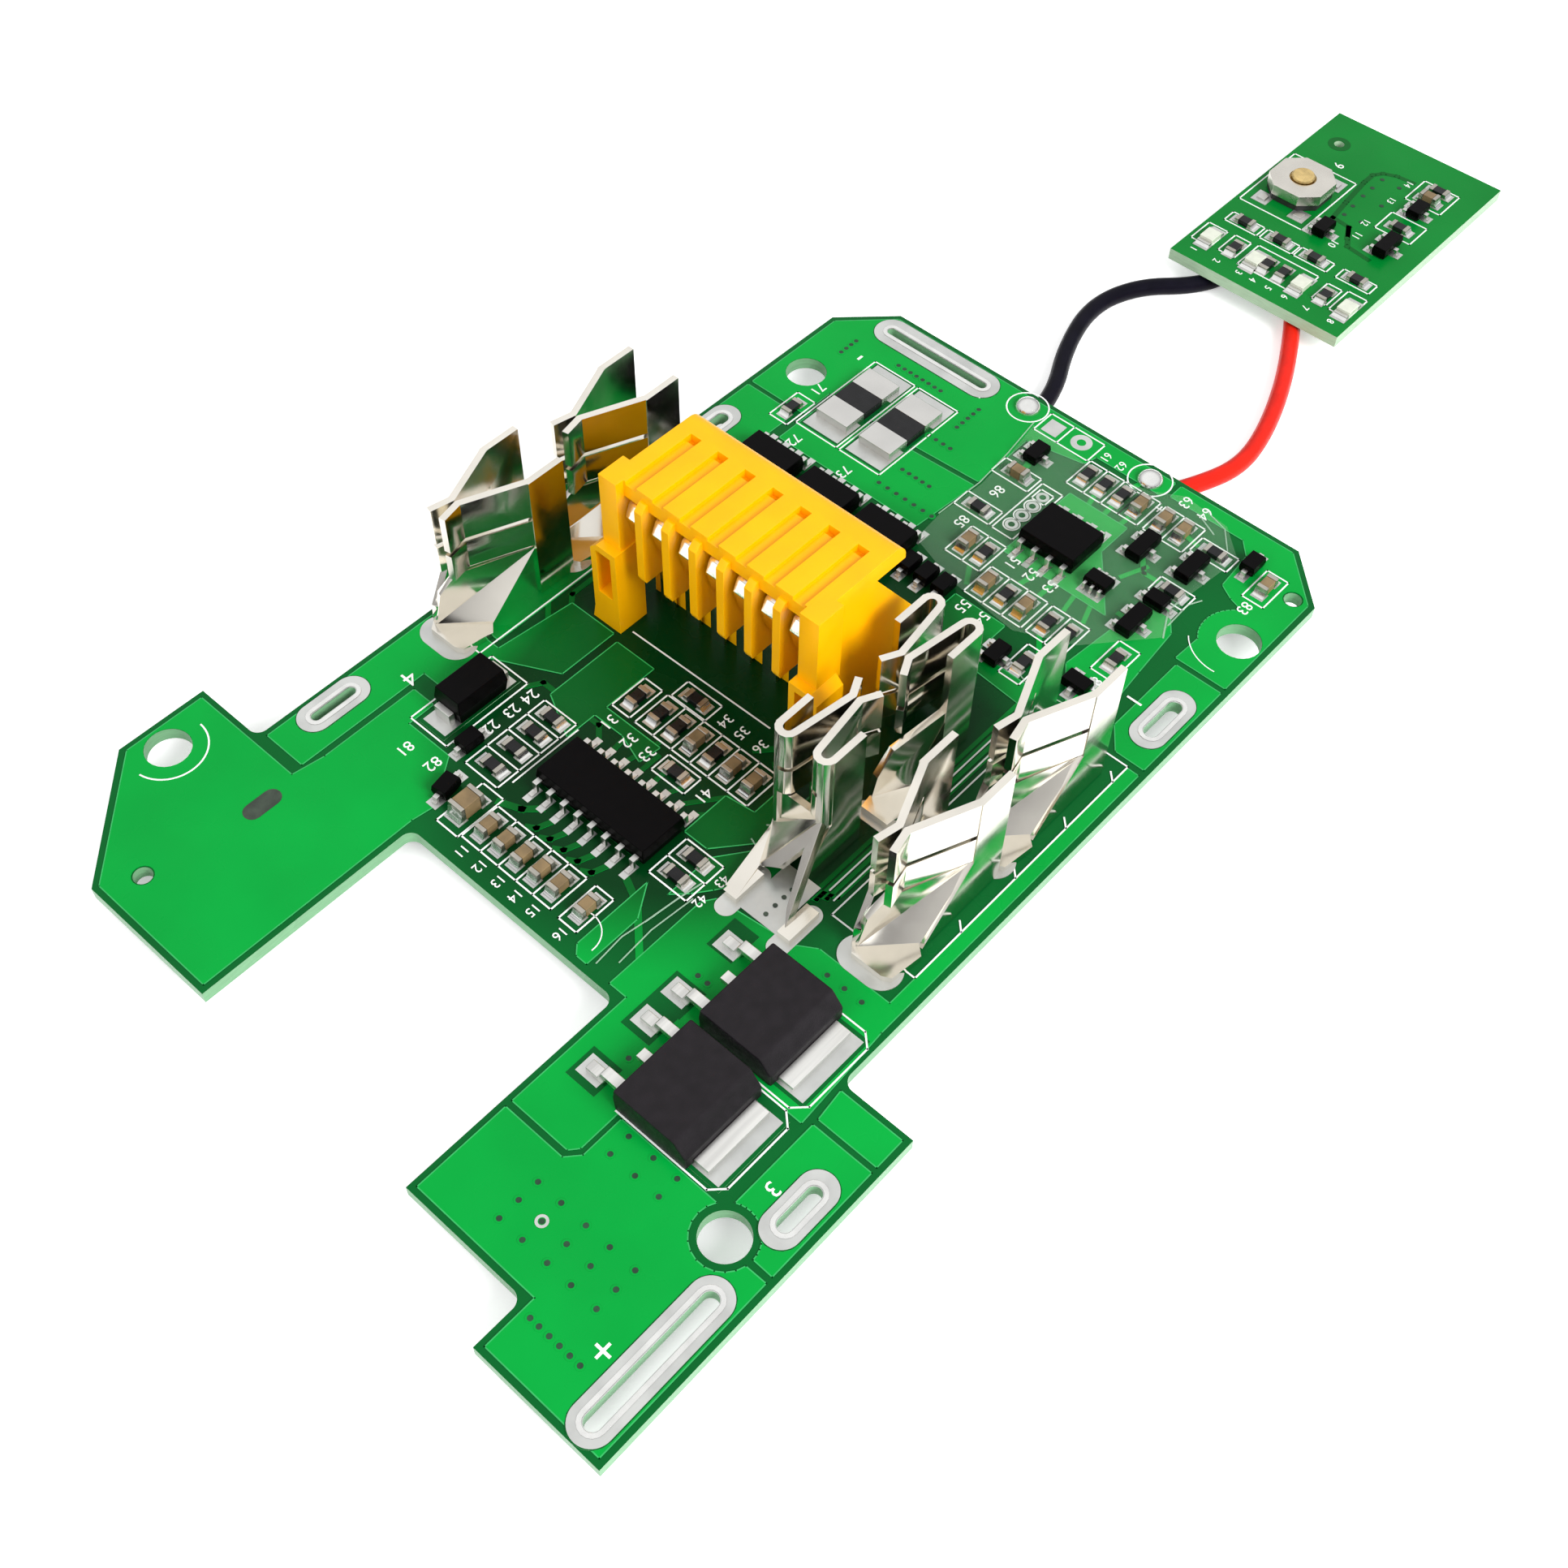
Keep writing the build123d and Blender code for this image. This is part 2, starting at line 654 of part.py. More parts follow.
def connector_housing():
    v0, v1 = connector_v - housing_half_width, connector_v + housing_half_width
    front, rear_wall = housing_front_u, housing_front_u + cavity_depth
    slab_front = front + slab_setback
    slab_low = top + housing_height - slab_thickness
    rear_body = [
        (rear_wall, top), (rear_wall, slab_low + 0.2), (rear_shoulder_u, slab_low + 0.2), (rear_slope_u, top + rear_slope_low),
        (rear_slope_u + 0.6, top + rear_slope_low - 1.2), (rear_slope_u + 0.6, top),
    ]
    solid = side_profile(rear_body, v0, v1)
    slab_rear = slab_front + slab_depth
    slab = [
        (slab_front, slab_low), (slab_front, top + housing_height), (slab_rear, top + housing_height),
        (slab_rear, slab_low),
    ]
    solid += side_profile(slab, v0, v1)
    rear_edges = solid.edges().filter_by(Axis.Y).filter_by_position(Axis.X, slab_rear - 0.01, slab_rear + 0.01)
    rear_edges = rear_edges.filter_by_position(Axis.Z, top + housing_height - 0.01, top + housing_height + 0.01)
    solid = fillet(rear_edges, slab_rear_radius)
    for side in (-1, 1):
        outer = connector_v + side * housing_half_width
        wall = sorted((outer, outer - side * side_wall))
        solid += block(front + 0.2, rear_wall + 0.2, *wall, top + fin_low, slab_low + 0.2)
        post = sorted((outer + side * post_overhang, outer - side * side_wall))
        solid += block(front, front + post_depth, *post, top + leg_height - 0.5, top + housing_height)
        leg_outer = outer + side * leg_overhang
        leg = sorted((leg_outer, leg_outer - side * leg_width))
        leg_front = front - leg_forward
        shoulder = leg_outer - side * leg_overhang / 2
        inner = leg_outer - side * leg_width
        solid += cross_profile([
            (leg_outer, top + leg_flare_height), (leg_outer, top + leg_height - 0.6), (shoulder, top + leg_height),
            (inner, top + leg_height), (inner, top), (leg_outer + side * leg_flare, top),
        ], leg_front, leg_front + leg_depth)
        solid += block(leg_front + leg_depth - 0.3, rear_wall + 0.2, *wall, top + 3.4, top + leg_height)
        window_v = (leg[0] + leg[1]) / 2
        solid -= block(
            leg_front - 1, leg_front + leg_depth - 0.5, window_v - leg_window[0] / 2, window_v + leg_window[0] / 2,
            top + leg_window_low, top + leg_window_low + leg_window[1],
        )
    fin_top = top + housing_height - fin_drop
    fin = [
        (rear_wall + 0.2, top + fin_low), (front + 0.15, top + fin_low), (front, top + fin_low + 0.4),
        (front, fin_top - fin_corner), (front + fin_corner, fin_top), (slab_front + 0.2, fin_top),
        (slab_front + 0.2, slab_low + 0.2), (rear_wall + 0.2, slab_low + 0.2),
    ]
    places = way_places()
    for low, high in zip(places, places[1:]):
        v = (low + high) / 2
        solid += side_profile(fin, v - fin_thickness / 2, v + fin_thickness / 2)
    z_top = top + housing_height
    for v in places:
        groove = (v - groove_width / 2, v + groove_width / 2)
        end = slab_front + groove_length
        solid -= block(slab_front - 0.1, end, *groove, z_top - groove_depth, z_top + 1)
        solid -= block(end - groove_end_length, end, *groove, z_top - groove_end_depth, z_top + 1)
    group("connector_housing", [solid])


def leaf_contacts():
    """Seven leaf springs: stem up from the board, a bulge that faces the near end, and the end under the slab."""
    bulge_u = leaf_stem_u - leaf_bulge
    path = [
        (leaf_stem_u, -underside_reach), (leaf_stem_u, top + 5.2), (leaf_stem_u - 1.2, top + 6.7),
        (bulge_u + 0.5, top + leaf_bulge_low), (bulge_u, top + leaf_bulge_mid), (bulge_u + 0.35, top + leaf_top - 0.45),
        (bulge_u + 1.1, top + leaf_top), (leaf_stem_u - 0.1, top + leaf_top),
    ]
    for i, v in enumerate(way_places()):
        leaf = Pos(0, v + leaf_width / 2, 0) * Rot(90, 0, 0) * strip(path, leaf_thickness, 0, leaf_width)
        group(f"connector_contact_{i + 1}", [leaf])


def solder_cone(u, v, cut):
    """A solder joint under a board, round whatever comes through there."""
    cone = Pos(u, v, -solder_cone_height / 2) * Rot(180, 0, 0) * Cone(solder_cone_radius, solder_cone_tip, solder_cone_height)
    return cone - cut


def underside_solder():
    cones = []
    for v in way_places():
        pin = block(*leaf_box(v), -2 * underside_reach, top)
        cones.append(solder_cone(leaf_stem_u, v, pin))
    for _, u, v, _ in outer_contacts():
        box = outer_tab(u, v)
        tab = block(*box, -2 * underside_reach, top)
        bead = centred((box[0] + box[1]) / 2, (box[2] + box[3]) / 2, 1.7, foot_tab_width + 1.0, -0.9, 0.9)
        cones.append(chamfer(bead.faces().sort_by(Axis.Z)[0].edges(), 0.4) - tab)
    for box in middle_tabs():
        tab = block(*box, -2 * underside_reach, top)
        bead = centred(
            (box[0] + box[1]) / 2, (box[2] + box[3]) / 2, box[1] - box[0] + 1.1, box[3] - box[2] + 1.1, -0.9, 0.9,
        )
        cones.append(chamfer(bead.faces().sort_by(Axis.Z)[0].edges(), 0.4) - tab)
    group("underside_solder_joints", cones)


def power_transistors():
    v0 = power_body_v
    v1 = v0 + power_body_depth
    z_top = top + power_body_height
    profile = [
        (v0, top), (v0, top + 1.2), (v0 + power_body_nose, z_top), (v1 - 0.15, z_top), (v1, top + 1.25), (v1 - 0.1, top),
    ]
    for i in range(2):
        u = power_first_u + i * power_pitch
        body = cross_profile(profile, u - power_body_length / 2, u + power_body_length / 2)
        lead_low = power_lead_height - power_tab_thickness / 2
        tab = block(
            u - power_tab_width / 2, u + power_tab_width / 2, v0 - power_tab_reach, v0, top, top + power_tab_thickness,
        )
        metalwork = [tab]
        z0, t = top + lead_low, power_tab_thickness
        lead = [
            (v1, z0), (v1 + 1.2, z0), (v1 + 1.5, top), (v1 + power_lead_reach, top), (v1 + power_lead_reach, top + t),
            (v1 + 1.9, top + t), (v1 + 1.55, z0 + t), (v1, z0 + t),
        ]
        for side in (-1, 1):
            left = u + side * power_lead_pitch / 2 - power_lead_width / 2
            metalwork.append(cross_profile(lead, left, left + power_lead_width))
        metalwork.append(
            block(u - power_lead_width / 2, u + power_lead_width / 2, v1, v1 + power_stub_reach, z0, z0 + t)
        )
        group(f"power_transistor_{i + 1}_body", [body])
        group(f"power_transistor_{i + 1}_metal", metalwork)


def shunt_resistors():
    bodies, ends = [], []
    for i in range(2):
        u, v = far(shunt_inset), across(shunt_low_v) + i * shunt_pitch
        bodies.append(centred(u, v, shunt_length - 2 * shunt_terminal, shunt_width, top, shunt_height))
        for side in (-1, 1):
            end_u = u + side * (shunt_length - shunt_terminal) / 2
            ends.append(centred(end_u, v, shunt_terminal, shunt_width, top, shunt_height + shunt_terminal_rise))
    group("shunt_resistor_bodies", bodies)
    group("shunt_resistor_terminals", ends)


def moulded(length, width, z0, z1):
    """A moulded package body whose sides draw in from the middle, long side along v."""
    middle = (z0 + z1) / 2
    half = (z1 - z0) / 2
    upper = Pos(0, 0, middle) * extrude(Rectangle(width, length), amount=half, taper=8)
    lower = Pos(0, 0, middle) * Rot(180, 0, 0) * extrude(Rectangle(width, length), amount=half, taper=8)
    return upper + lower


def gull_lead(inner, reach, exit_z, width, at_v):
    """A lead that leaves a body at the plan distance inner, goes down and stands on the board."""
    bend = inner + (reach - inner) * 0.35
    t = lead_thickness
    profile = [
        (inner, exit_z), (bend, exit_z), (bend, 0), (reach, 0), (reach, t), (bend + t, t), (bend + t, exit_z + t),
        (inner, exit_z + t),
    ]
    return side_profile(profile, at_v - width / 2, at_v + width / 2)


def leaded_chip(length, width, height, leads, pitch, span, lead_width):
    """A chip on the origin with two rows of leads along v: its body and its leads."""
    body = moulded(length, width, chip_seat, height)
    exit_z = (chip_seat + height) / 2 - lead_thickness / 2
    metalwork = []
    for turn in (0, 180):
        for i in range(leads):
            v = (i - (leads - 1) / 2) * pitch
            metalwork.append(Rot(0, 0, turn) * gull_lead(width / 2, span / 2, exit_z, lead_width, v))
    return body, metalwork


def small_outline(length, leads):
    return leaded_chip(
        length, small_outline_width, small_outline_height, leads, small_outline_pitch, small_outline_span,
        small_outline_lead,
    )


def place_chip(chip, u, v, z=None, turn=0):
    """Moves a chip's body and leads to their place on a board."""
    spot = Pos(u, v, top if z is None else z) * Rot(0, 0, turn)
    body, metalwork = chip
    return spot * body, [spot * lead for lead in metalwork]


def switching_chip_v(i):
    """The v of a switching chip, the third nearest the left edge."""
    return field_left_v - switching_chip_left_inset - (2 - i) * switching_chip_pitch


def chips():
    body, leads = place_chip(small_outline(monitor_chip_length, 8), monitor_chip_u, across(monitor_chip_v))
    group("monitor_chip_body", [body])
    group("monitor_chip_leads", leads)
    body, leads = place_chip(small_outline(eight_lead_length, 4), far(controller_chip_inset), across(controller_chip_v))
    group("controller_chip_body", [body])
    group("controller_chip_leads", leads)
    bodies, leads = [], []
    for i in range(3):
        v = switching_chip_v(i)
        body, metalwork = place_chip(small_outline(switching_chip_length, 4), far(switching_chip_inset), v)
        bodies.append(body)
        leads += metalwork
    group("switching_transistor_bodies", bodies)
    group("switching_transistor_leads", leads)


def larger_diode():
    half = diode_length / 2
    body = Pos(diode_u, diode_v, top) * Rot(0, 0, 90) * moulded(diode_length, diode_width, 0.1, diode_height)
    leads = []
    for side in (-1, 1):
        face = diode_u + side * half
        run = sorted((face, face + side * diode_lead_reach))
        width = diode_lead_width / 2
        leads.append(block(*run, diode_v - width, diode_v + width, top, top + diode_height / 2))
    group("larger_diode_body", [body])
    group("larger_diode_leads", [lead - body for lead in leads])


def chip_part(u, v, along_v, size, height, z):
    """A chip resistor or capacitor: its body and its two end caps."""
    length, width = size
    spot = Pos(u, v, z) * Rot(0, 0, 90 if along_v else 0)
    body = spot * centred(0, 0, length - 2 * chip_end, width, 0, height)
    ends = []
    for side in (-1, 1):
        end = centred(side * (length - chip_end) / 2, 0, chip_end, width + 2 * chip_end_rise, 0, height + chip_end_rise)
        ends.append(spot * end)
    return body, ends


def main_capacitors():
    """Plan places of the main board's capacitors: u, v and whether they lie across the board."""
    column = far(far_column_inset)
    edge_column = far(far_edge_column_inset)
    places = [(capacitor_column_u, capacitor_column_low_v + i * capacitor_column_pitch, False)
              for i in range(capacitor_column_count)]
    places.append((*single_capacitor_place, False))
    places += [(second_column_u, v, False) for v in (29.35, 26.0, 24.15)]
    places += [(column, v, False) for v in (24.0, 20.6)]
    places += [(edge_column, v, False) for v in (20.5, 18.3, 16.6)]
    places += [(far(7.9), 29.2, True), (far(15.9), 27.55, False), (far(4.8), 9.1, False)]
    return places


def main_resistors():
    """Plan places of the main board's resistors: u, v and whether they lie across the board."""
    column = far(far_column_inset)
    edge_column = far(far_edge_column_inset)
    places = [(u, 37.8, True) for u in (27.35, 29.3, 31.1, 32.8)]
    places += [(second_column_u, v, False) for v in (34.9, 32.75, 31.05, 27.7)]
    places += [(40.5, 31.8, True), (35.15, 28.5, True), (29.3, 22.8, True), (31.05, 22.8, True)]
    places += [(column, v, False) for v in (22.3, 18.5, 16.8)]
    places += [(edge_column, v, False) for v in (25.3, 23.7, 22.1)]
    places += [(far(12.6), 29.2, True), (far(15.9), 25.95, False), (far(14.1), 46.4, False), (far(9.75), 13.8, True)]
    places += [(far(4.55), 13.7, True), (far(17.6), 13.0, False), (far(22.2), 17.5, False)]
    return places


def main_chip_parts():
    bodies, ends = [], []
    for u, v, along_v in main_capacitors():
        body, caps = chip_part(u, across(v), along_v, small_chip, capacitor_height, top)
        bodies.append(body)
        ends += caps
    u, v = large_capacitor_place
    body, caps = chip_part(u, across(v), False, large_capacitor[:2], large_capacitor[2], top)
    group("capacitor_bodies", bodies + [body])
    group("capacitor_ends", ends + caps)
    bodies, ends = [], []
    for u, v, along_v in main_resistors():
        body, caps = chip_part(u, across(v), along_v, small_chip, resistor_height, top)
        bodies.append(body)
        ends += caps
    group("resistor_bodies", bodies)
    group("resistor_ends", ends)


def three_lead(size, pitch):
    """A small transistor on the origin, long side along v, with two leads on one side and one on the other."""
    length, width, height = size
    body = moulded(length, width, 0.1, height)
    reach = width / 2 + small_lead_reach
    exit_z = height / 2 - lead_thickness / 2
    leads = [gull_lead(width / 2, reach, exit_z, small_lead_width, v) for v in (-pitch, pitch)]
    leads.append(Rot(0, 0, 180) * gull_lead(width / 2, reach, exit_z, small_lead_width, 0))
    return body, leads


def six_lead():
    length, width, height = tiny_body
    span = width + 2 * small_lead_reach
    return leaded_chip(length, width, height, 3, tiny_lead_pitch, span, small_lead_width * 0.6)


def two_lead():
    """A small diode on the origin, long side along u, with a lead at each end."""
    length, width, height = signal_diode_body
    body = Rot(0, 0, 90) * moulded(length, width, 0.1, height)
    exit_z = height / 2 - lead_thickness / 2
    reach = length / 2 + small_lead_reach
    leads = [Rot(0, 0, turn) * gull_lead(length / 2, reach, exit_z, small_lead_width, 0) for turn in (0, 180)]
    return body, leads


def small_semiconductors():
    bodies, leads = [], []
    transistor = three_lead(transistor_body, transistor_lead_pitch)
    tiny = three_lead(tiny_body, tiny_lead_pitch)
    diode = two_lead()
    placed = [
        place_chip(tiny, far(5.4), across(29.4), turn=90),
        place_chip(transistor, far(7.8), across(17.8), turn=90),
        place_chip(transistor, far(14.1), across(14.1), turn=90),
        place_chip(transistor, far(7.1), across(14.0), turn=90),
        place_chip(tiny, far(21.3), across(13.6), turn=0),
        place_chip(tiny, far(23.0), across(19.3), turn=90),
        place_chip(six_lead(), far(12.75), across(18.1)),
        place_chip(diode, 27.6, across(40.3)),
        place_chip(diode, 24.05, across(38.6), turn=10),
        place_chip(diode, far(11.4), across(14.0), turn=90),
        place_chip(diode, far(3.8), across(11.0)),
    ]
    placed += [place_chip(diode, far(20.6), switching_chip_v(0) - down) for down in (3.1, 4.7, 6.3)]
    for body, metalwork in placed:
        bodies.append(body)
        leads += metalwork
    group("small_semiconductor_bodies", bodies)
    group("small_semiconductor_leads", leads)


def towards(start, end, distance):
    """The point at a distance from start on the way to end."""
    share = distance / hypot(end[0] - start[0], end[1] - start[1])
    return start[0] + share * (end[0] - start[0]), start[1] + share * (end[1] - start[1])


def core_piece(joint, next_point):
    """The wire's bare core between its joint and the end of its sleeve."""
    turn = degrees(atan2(next_point[1] - joint[1], next_point[0] - joint[0]))
    rod = Pos(0, 0, core_stub / 2) * Cylinder(wire_core_radius, core_stub)
    return Pos(*joint, wire_z) * (Rot(0, 0, turn) * Rot(0, 90, 0) * rod + Sphere(wire_core_radius))


def bead(joint, z, height):
    """A rounded bead of solder that stands or hangs on a board's face."""
    dome = Pos(*joint, z) * scale(Sphere(wire_bead_radius), by=(1, 1, abs(height) / wire_bead_radius))
    low, high = sorted((z, z + 2 * height))
    return dome & centred(*joint, 6, 6, low, high - low)


def wire_ends():
    joints = []
    for joint, next_point in ((minus_joint, black_route[1]), (plus_joint, red_route[1])):
        pin = Pos(*joint, (top + wire_z) / 2) * Cylinder(wire_core_radius, top - wire_z)
        foot = Pos(*joint, (wire_z - underside_reach) / 2) * Cylinder(wire_core_radius, underside_reach + wire_z)
        joints.append(bead(joint, top, wire_bead_height) + pin + foot + core_piece(joint, next_point))
    for joint, next_point in ((black_end_joint, black_route[-2]), (red_end_joint, red_route[-2])):
        joints.append(bead(joint, 0, -wire_bead_height - wire_core_radius) + core_piece(joint, next_point))
    group("wire_solder_joints", joints)


def wire(name, route):
    """A wire along straight runs joined by tangent arcs, each as large as its two runs allow."""
    radii = []
    start, end = towards(route[0], route[1], core_stub), towards(route[-1], route[-2], core_stub)
    route = [start] + route[1:-1] + [end]
    for a, b, c in zip(route, route[1:], route[2:]):
        run_in, run_out = hypot(b[0] - a[0], b[1] - a[1]), hypot(c[0] - b[0], c[1] - b[1])
        turn = atan2(c[1] - b[1], c[0] - b[0]) - atan2(b[1] - a[1], b[0] - a[0])
        radii.append(0.45 * min(run_in, run_out) / tan(abs(turn) / 2))
    points = [(u, v, wire_z) for u, v in route]
    path = FilletPolyline(*points, radius=radii)
    section_plane = Plane(origin=path @ 0, z_dir=path % 0)
    tube = sweep(section_plane * Circle(wire_diameter / 2), path=path)
    section = pi * (wire_diameter / 2) ** 2
    print(name, "length", round(path.length, 2), "radii", [round(r, 1) for r in radii],
          "volume", round(tube.volume, 2), "section times length", round(section * path.length, 2))
    group(name, [tube])


def on_indicator(u, v):
    """A place on the indicator board, from its near right corner."""
    return board_length + indicator_gap + u, indicator_v + v


def indicator_board():
    u0, v0 = on_indicator(0, 0)
    board = block(u0, u0 + indicator_length, v0, v0 + indicator_width, 0, top)
    u, v = on_indicator(*indicator_peg_place)
    board -= Pos(u, v, top / 2) * Cylinder(indicator_peg_radius, 2 * top)
    group("indicator_board", [board])


def indicator_lamps():
    bodies, ends = [], []
    length, width, height = lamp_size
    for i in range(lamp_count):
        u, v = on_indicator(lamp_row_u, lamp_first_v + i * lamp_pitch)
        bodies.append(centred(u, v, length - 2 * lamp_end, width, top, height))
        for side in (-1, 1):
            ends.append(centred(u + side * (length - lamp_end) / 2, v, lamp_end, width, top, height * 0.6))
    group("indicator_lamp_bodies", bodies)
    group("indicator_lamp_ends", ends)


def indicator_small_parts():
    bodies, ends = [], []
    row = [(lamp_row_u + 0.2, v, False) for v in (3.45, 7.5, 9.05, 12.3)]
    row += [(7.0, v, True) for v in (2.6, 6.7, 10.1, 13.6)]
    row += [(21.9, 3.7, True), (15.3, 3.6, True)]
    for u, v, along_v in row:
        body, caps = chip_part(*on_indicator(u, v), along_v, small_chip, resistor_height, top)
        bodies.append(body)
        ends += caps
    body, caps = chip_part(*on_indicator(20.3, 3.8), True, small_chip, capacitor_height, top)
    group("indicator_resistor_bodies", bodies)
    group("indicator_resistor_ends", ends)
    group("indicator_capacitor_body", [body])
    group("indicator_capacitor_ends", caps)
    bodies, leads = [], []
    for kind, u, v, turn in (
        (three_lead(transistor_body, transistor_lead_pitch), 12.2, 3.0, 90),
        (three_lead(tiny_body, tiny_lead_pitch), 18.1, 3.6, 90),
        (three_lead(tiny_body, tiny_lead_pitch), 10.6, 8.2, 90),
    ):
        body, metalwork = place_chip(kind, *on_indicator(u, v), turn=turn)
        bodies.append(body)
        leads += metalwork
    group("indicator_transistor_bodies", bodies)
    group("indicator_transistor_leads", leads)


def octagon(side, cut):
    half = side / 2
    inner = half - cut
    return [
        (half, inner), (inner, half), (-inner, half), (-half, inner), (-half, -inner), (-inner, -half), (inner, -half),
        (half, -inner),
    ]


def push_switch():
    spot = Pos(*on_indicator(*switch_place), top)
    base_side = switch_side - 0.2
    base = prism(octagon(base_side, switch_corner_cut - 0.1), 0, switch_base_height)
    dome_z = switch_base_height
    cover = prism(octagon(switch_side, switch_corner_cut), cover_skirt, cover_height)
    inside = prism(octagon(base_side, switch_corner_cut - 0.1), 0, cover_height - cover_thickness)
    cover -= inside
    hole = button_radius + button_hole_clearance
    cover -= Pos(0, 0, cover_height) * Cylinder(hole, 4 * cover_thickness)
    dome_rise = cover_height - cover_thickness - button_flange_thickness - dome_gap - dome_thickness - dome_z
    outer_r = (dome_radius ** 2 + dome_rise ** 2) / (2 * dome_rise)
    sphere_z = dome_z + dome_rise - outer_r
    dome = Pos(0, 0, sphere_z) * (Sphere(outer_r + dome_thickness) - Sphere(outer_r))
    dome &= Pos(0, 0, dome_z + 1) * Cylinder(dome_radius, 2)
    flange_z = cover_height - cover_thickness - button_flange_thickness
    button = Pos(0, 0, flange_z + button_flange_thickness / 2) * Cylinder(button_flange_radius, button_flange_thickness)
    stem = cover_height + button_rise - flange_z
    button += Pos(0, 0, flange_z + stem / 2) * Cylinder(button_radius, stem)
    button = chamfer(button.edges().sort_by(Axis.Z)[-1], 0.12)
    leads = []
    for side in (-1, 1):
        for v in (-switch_lead_pitch / 2, switch_lead_pitch / 2):
            run = sorted((side * base_side / 2, side * (base_side / 2 + switch_lead_reach)))
            leads.append(block(*run, v - switch_lead_width / 2, v + switch_lead_width / 2, 0, lead_thickness))
    group("switch_base", [spot * base])
    group("switch_cover", [spot * cover])
    group("switch_dome", [spot * dome])
    group("switch_button", [spot * button])
    group("switch_leads", [spot * lead for lead in leads])


main_board()
tab_pads()
foot_pads()
for contact in outer_contacts():
    outer_contact(*contact)
middle_front()
middle_rear()
connector_housing()
leaf_contacts()
underside_solder()
power_transistors()
shunt_resistors()
chips()
larger_diode()
main_chip_parts()
small_semiconductors()
wire_ends()
wire("black_wire", black_route)
wire("red_wire", red_route)
indicator_board()
indicator_lamps()
indicator_small_parts()
push_switch()

origin_u = near_screw_u
origin_v = near_screw_right_v + near_screw_spacing / 2
os.makedirs("parts", exist_ok=True)
for name, shape in parts.items():
    export_step(shape.moved(Location((-origin_u, -origin_v, 0))), f"parts/{name}.step")
print(len(parts), "nodes")
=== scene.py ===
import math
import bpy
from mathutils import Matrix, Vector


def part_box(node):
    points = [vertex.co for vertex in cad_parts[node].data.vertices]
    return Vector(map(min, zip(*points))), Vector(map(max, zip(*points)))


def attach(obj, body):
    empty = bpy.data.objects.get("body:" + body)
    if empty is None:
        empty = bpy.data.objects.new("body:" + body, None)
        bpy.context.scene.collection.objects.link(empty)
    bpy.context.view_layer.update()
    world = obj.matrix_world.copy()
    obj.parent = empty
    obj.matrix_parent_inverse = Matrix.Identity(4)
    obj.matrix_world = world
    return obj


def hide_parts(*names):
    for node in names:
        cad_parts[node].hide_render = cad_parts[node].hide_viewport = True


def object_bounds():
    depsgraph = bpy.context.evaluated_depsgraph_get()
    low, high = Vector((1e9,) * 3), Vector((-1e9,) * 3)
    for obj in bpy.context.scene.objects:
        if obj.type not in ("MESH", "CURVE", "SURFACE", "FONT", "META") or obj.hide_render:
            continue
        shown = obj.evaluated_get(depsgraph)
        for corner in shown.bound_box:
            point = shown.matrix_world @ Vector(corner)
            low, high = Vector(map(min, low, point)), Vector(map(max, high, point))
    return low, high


bl_info = {
    "name": "Battery management board",
    "version": (1, 0, 0),
    "blender": (4, 5, 0),
    "location": "View3D > Sidebar > Board",
    "description": "Dresses the packed battery management board with solder, print, finishes and a studio",
    "category": "Object",
}

import bmesh
import bpy
from mathutils import Matrix, Vector

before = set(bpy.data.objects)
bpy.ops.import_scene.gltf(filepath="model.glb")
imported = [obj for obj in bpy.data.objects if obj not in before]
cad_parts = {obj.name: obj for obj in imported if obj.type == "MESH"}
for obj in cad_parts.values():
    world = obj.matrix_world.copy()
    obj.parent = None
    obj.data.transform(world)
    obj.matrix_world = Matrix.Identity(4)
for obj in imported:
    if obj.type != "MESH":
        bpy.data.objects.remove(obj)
CAD_LOW, CAD_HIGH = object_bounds()
BOARD_LOW, BOARD_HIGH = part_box("main_board")
LAMP_BOARD_LOW, LAMP_BOARD_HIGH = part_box("indicator_board")
MM = 0.001
TOP = BOARD_HIGH.z
FLOOR = CAD_LOW.z
WHITE = (1, 1, 1, 1)


def color_setting(name, description, default):
    return bpy.props.FloatVectorProperty(
        name=name, description=description, subtype="COLOR", default=default, min=0, max=1,
    )


def length_setting(name, description, default):
    """A length, its default given in millimetres."""
    return bpy.props.FloatProperty(
        name=name, description=description, subtype="DISTANCE", unit="LENGTH", default=default * MM, min=0,
    )


class BoardSettings(bpy.types.PropertyGroup):
    mask_color: color_setting("Solder mask", "Solder mask over copper", (0.0003, 0.325, 0.04))
    bare_mask_color: color_setting(
        "Mask on laminate", "Solder mask where there is no copper under it", (0.0005, 0.105, 0.018),
    )
    laminate_color: color_setting("Laminate", "Cut edge of the main board", (0.20, 0.42, 0.23))
    indicator_edge_color: color_setting(
        "Indicator edge", "Cut edge of the indicator board", (0.38, 0.54, 0.37),
    )
    print_color: color_setting("Print", "White printed marks", (0.86, 0.88, 0.86))
    copper_height: length_setting("Copper height", "How far copper under the mask stands up", 0.045)
    print_width: length_setting("Print line", "Width of a printed line", 0.115)
    solder_reach: length_setting("Solder reach", "How far solder runs out from an end cap", 0.36)


class PlasticSettings(bpy.types.PropertyGroup):
    housing_color: color_setting("Housing", "Connector plastic", (1.0, 0.46, 0.0))
    edge_round: length_setting("Housing edges", "Rounding of the moulded edges", 0.16)
    epoxy_color: color_setting("Epoxy", "Chip bodies", (0.0009, 0.0006, 0.0008))
    black_wire_color: color_setting("Black wire", "Sleeve of the black wire", (0.004, 0.0035, 0.008))
    red_wire_color: color_setting("Red wire", "Sleeve of the red wire", (0.74, 0.014, 0.005))


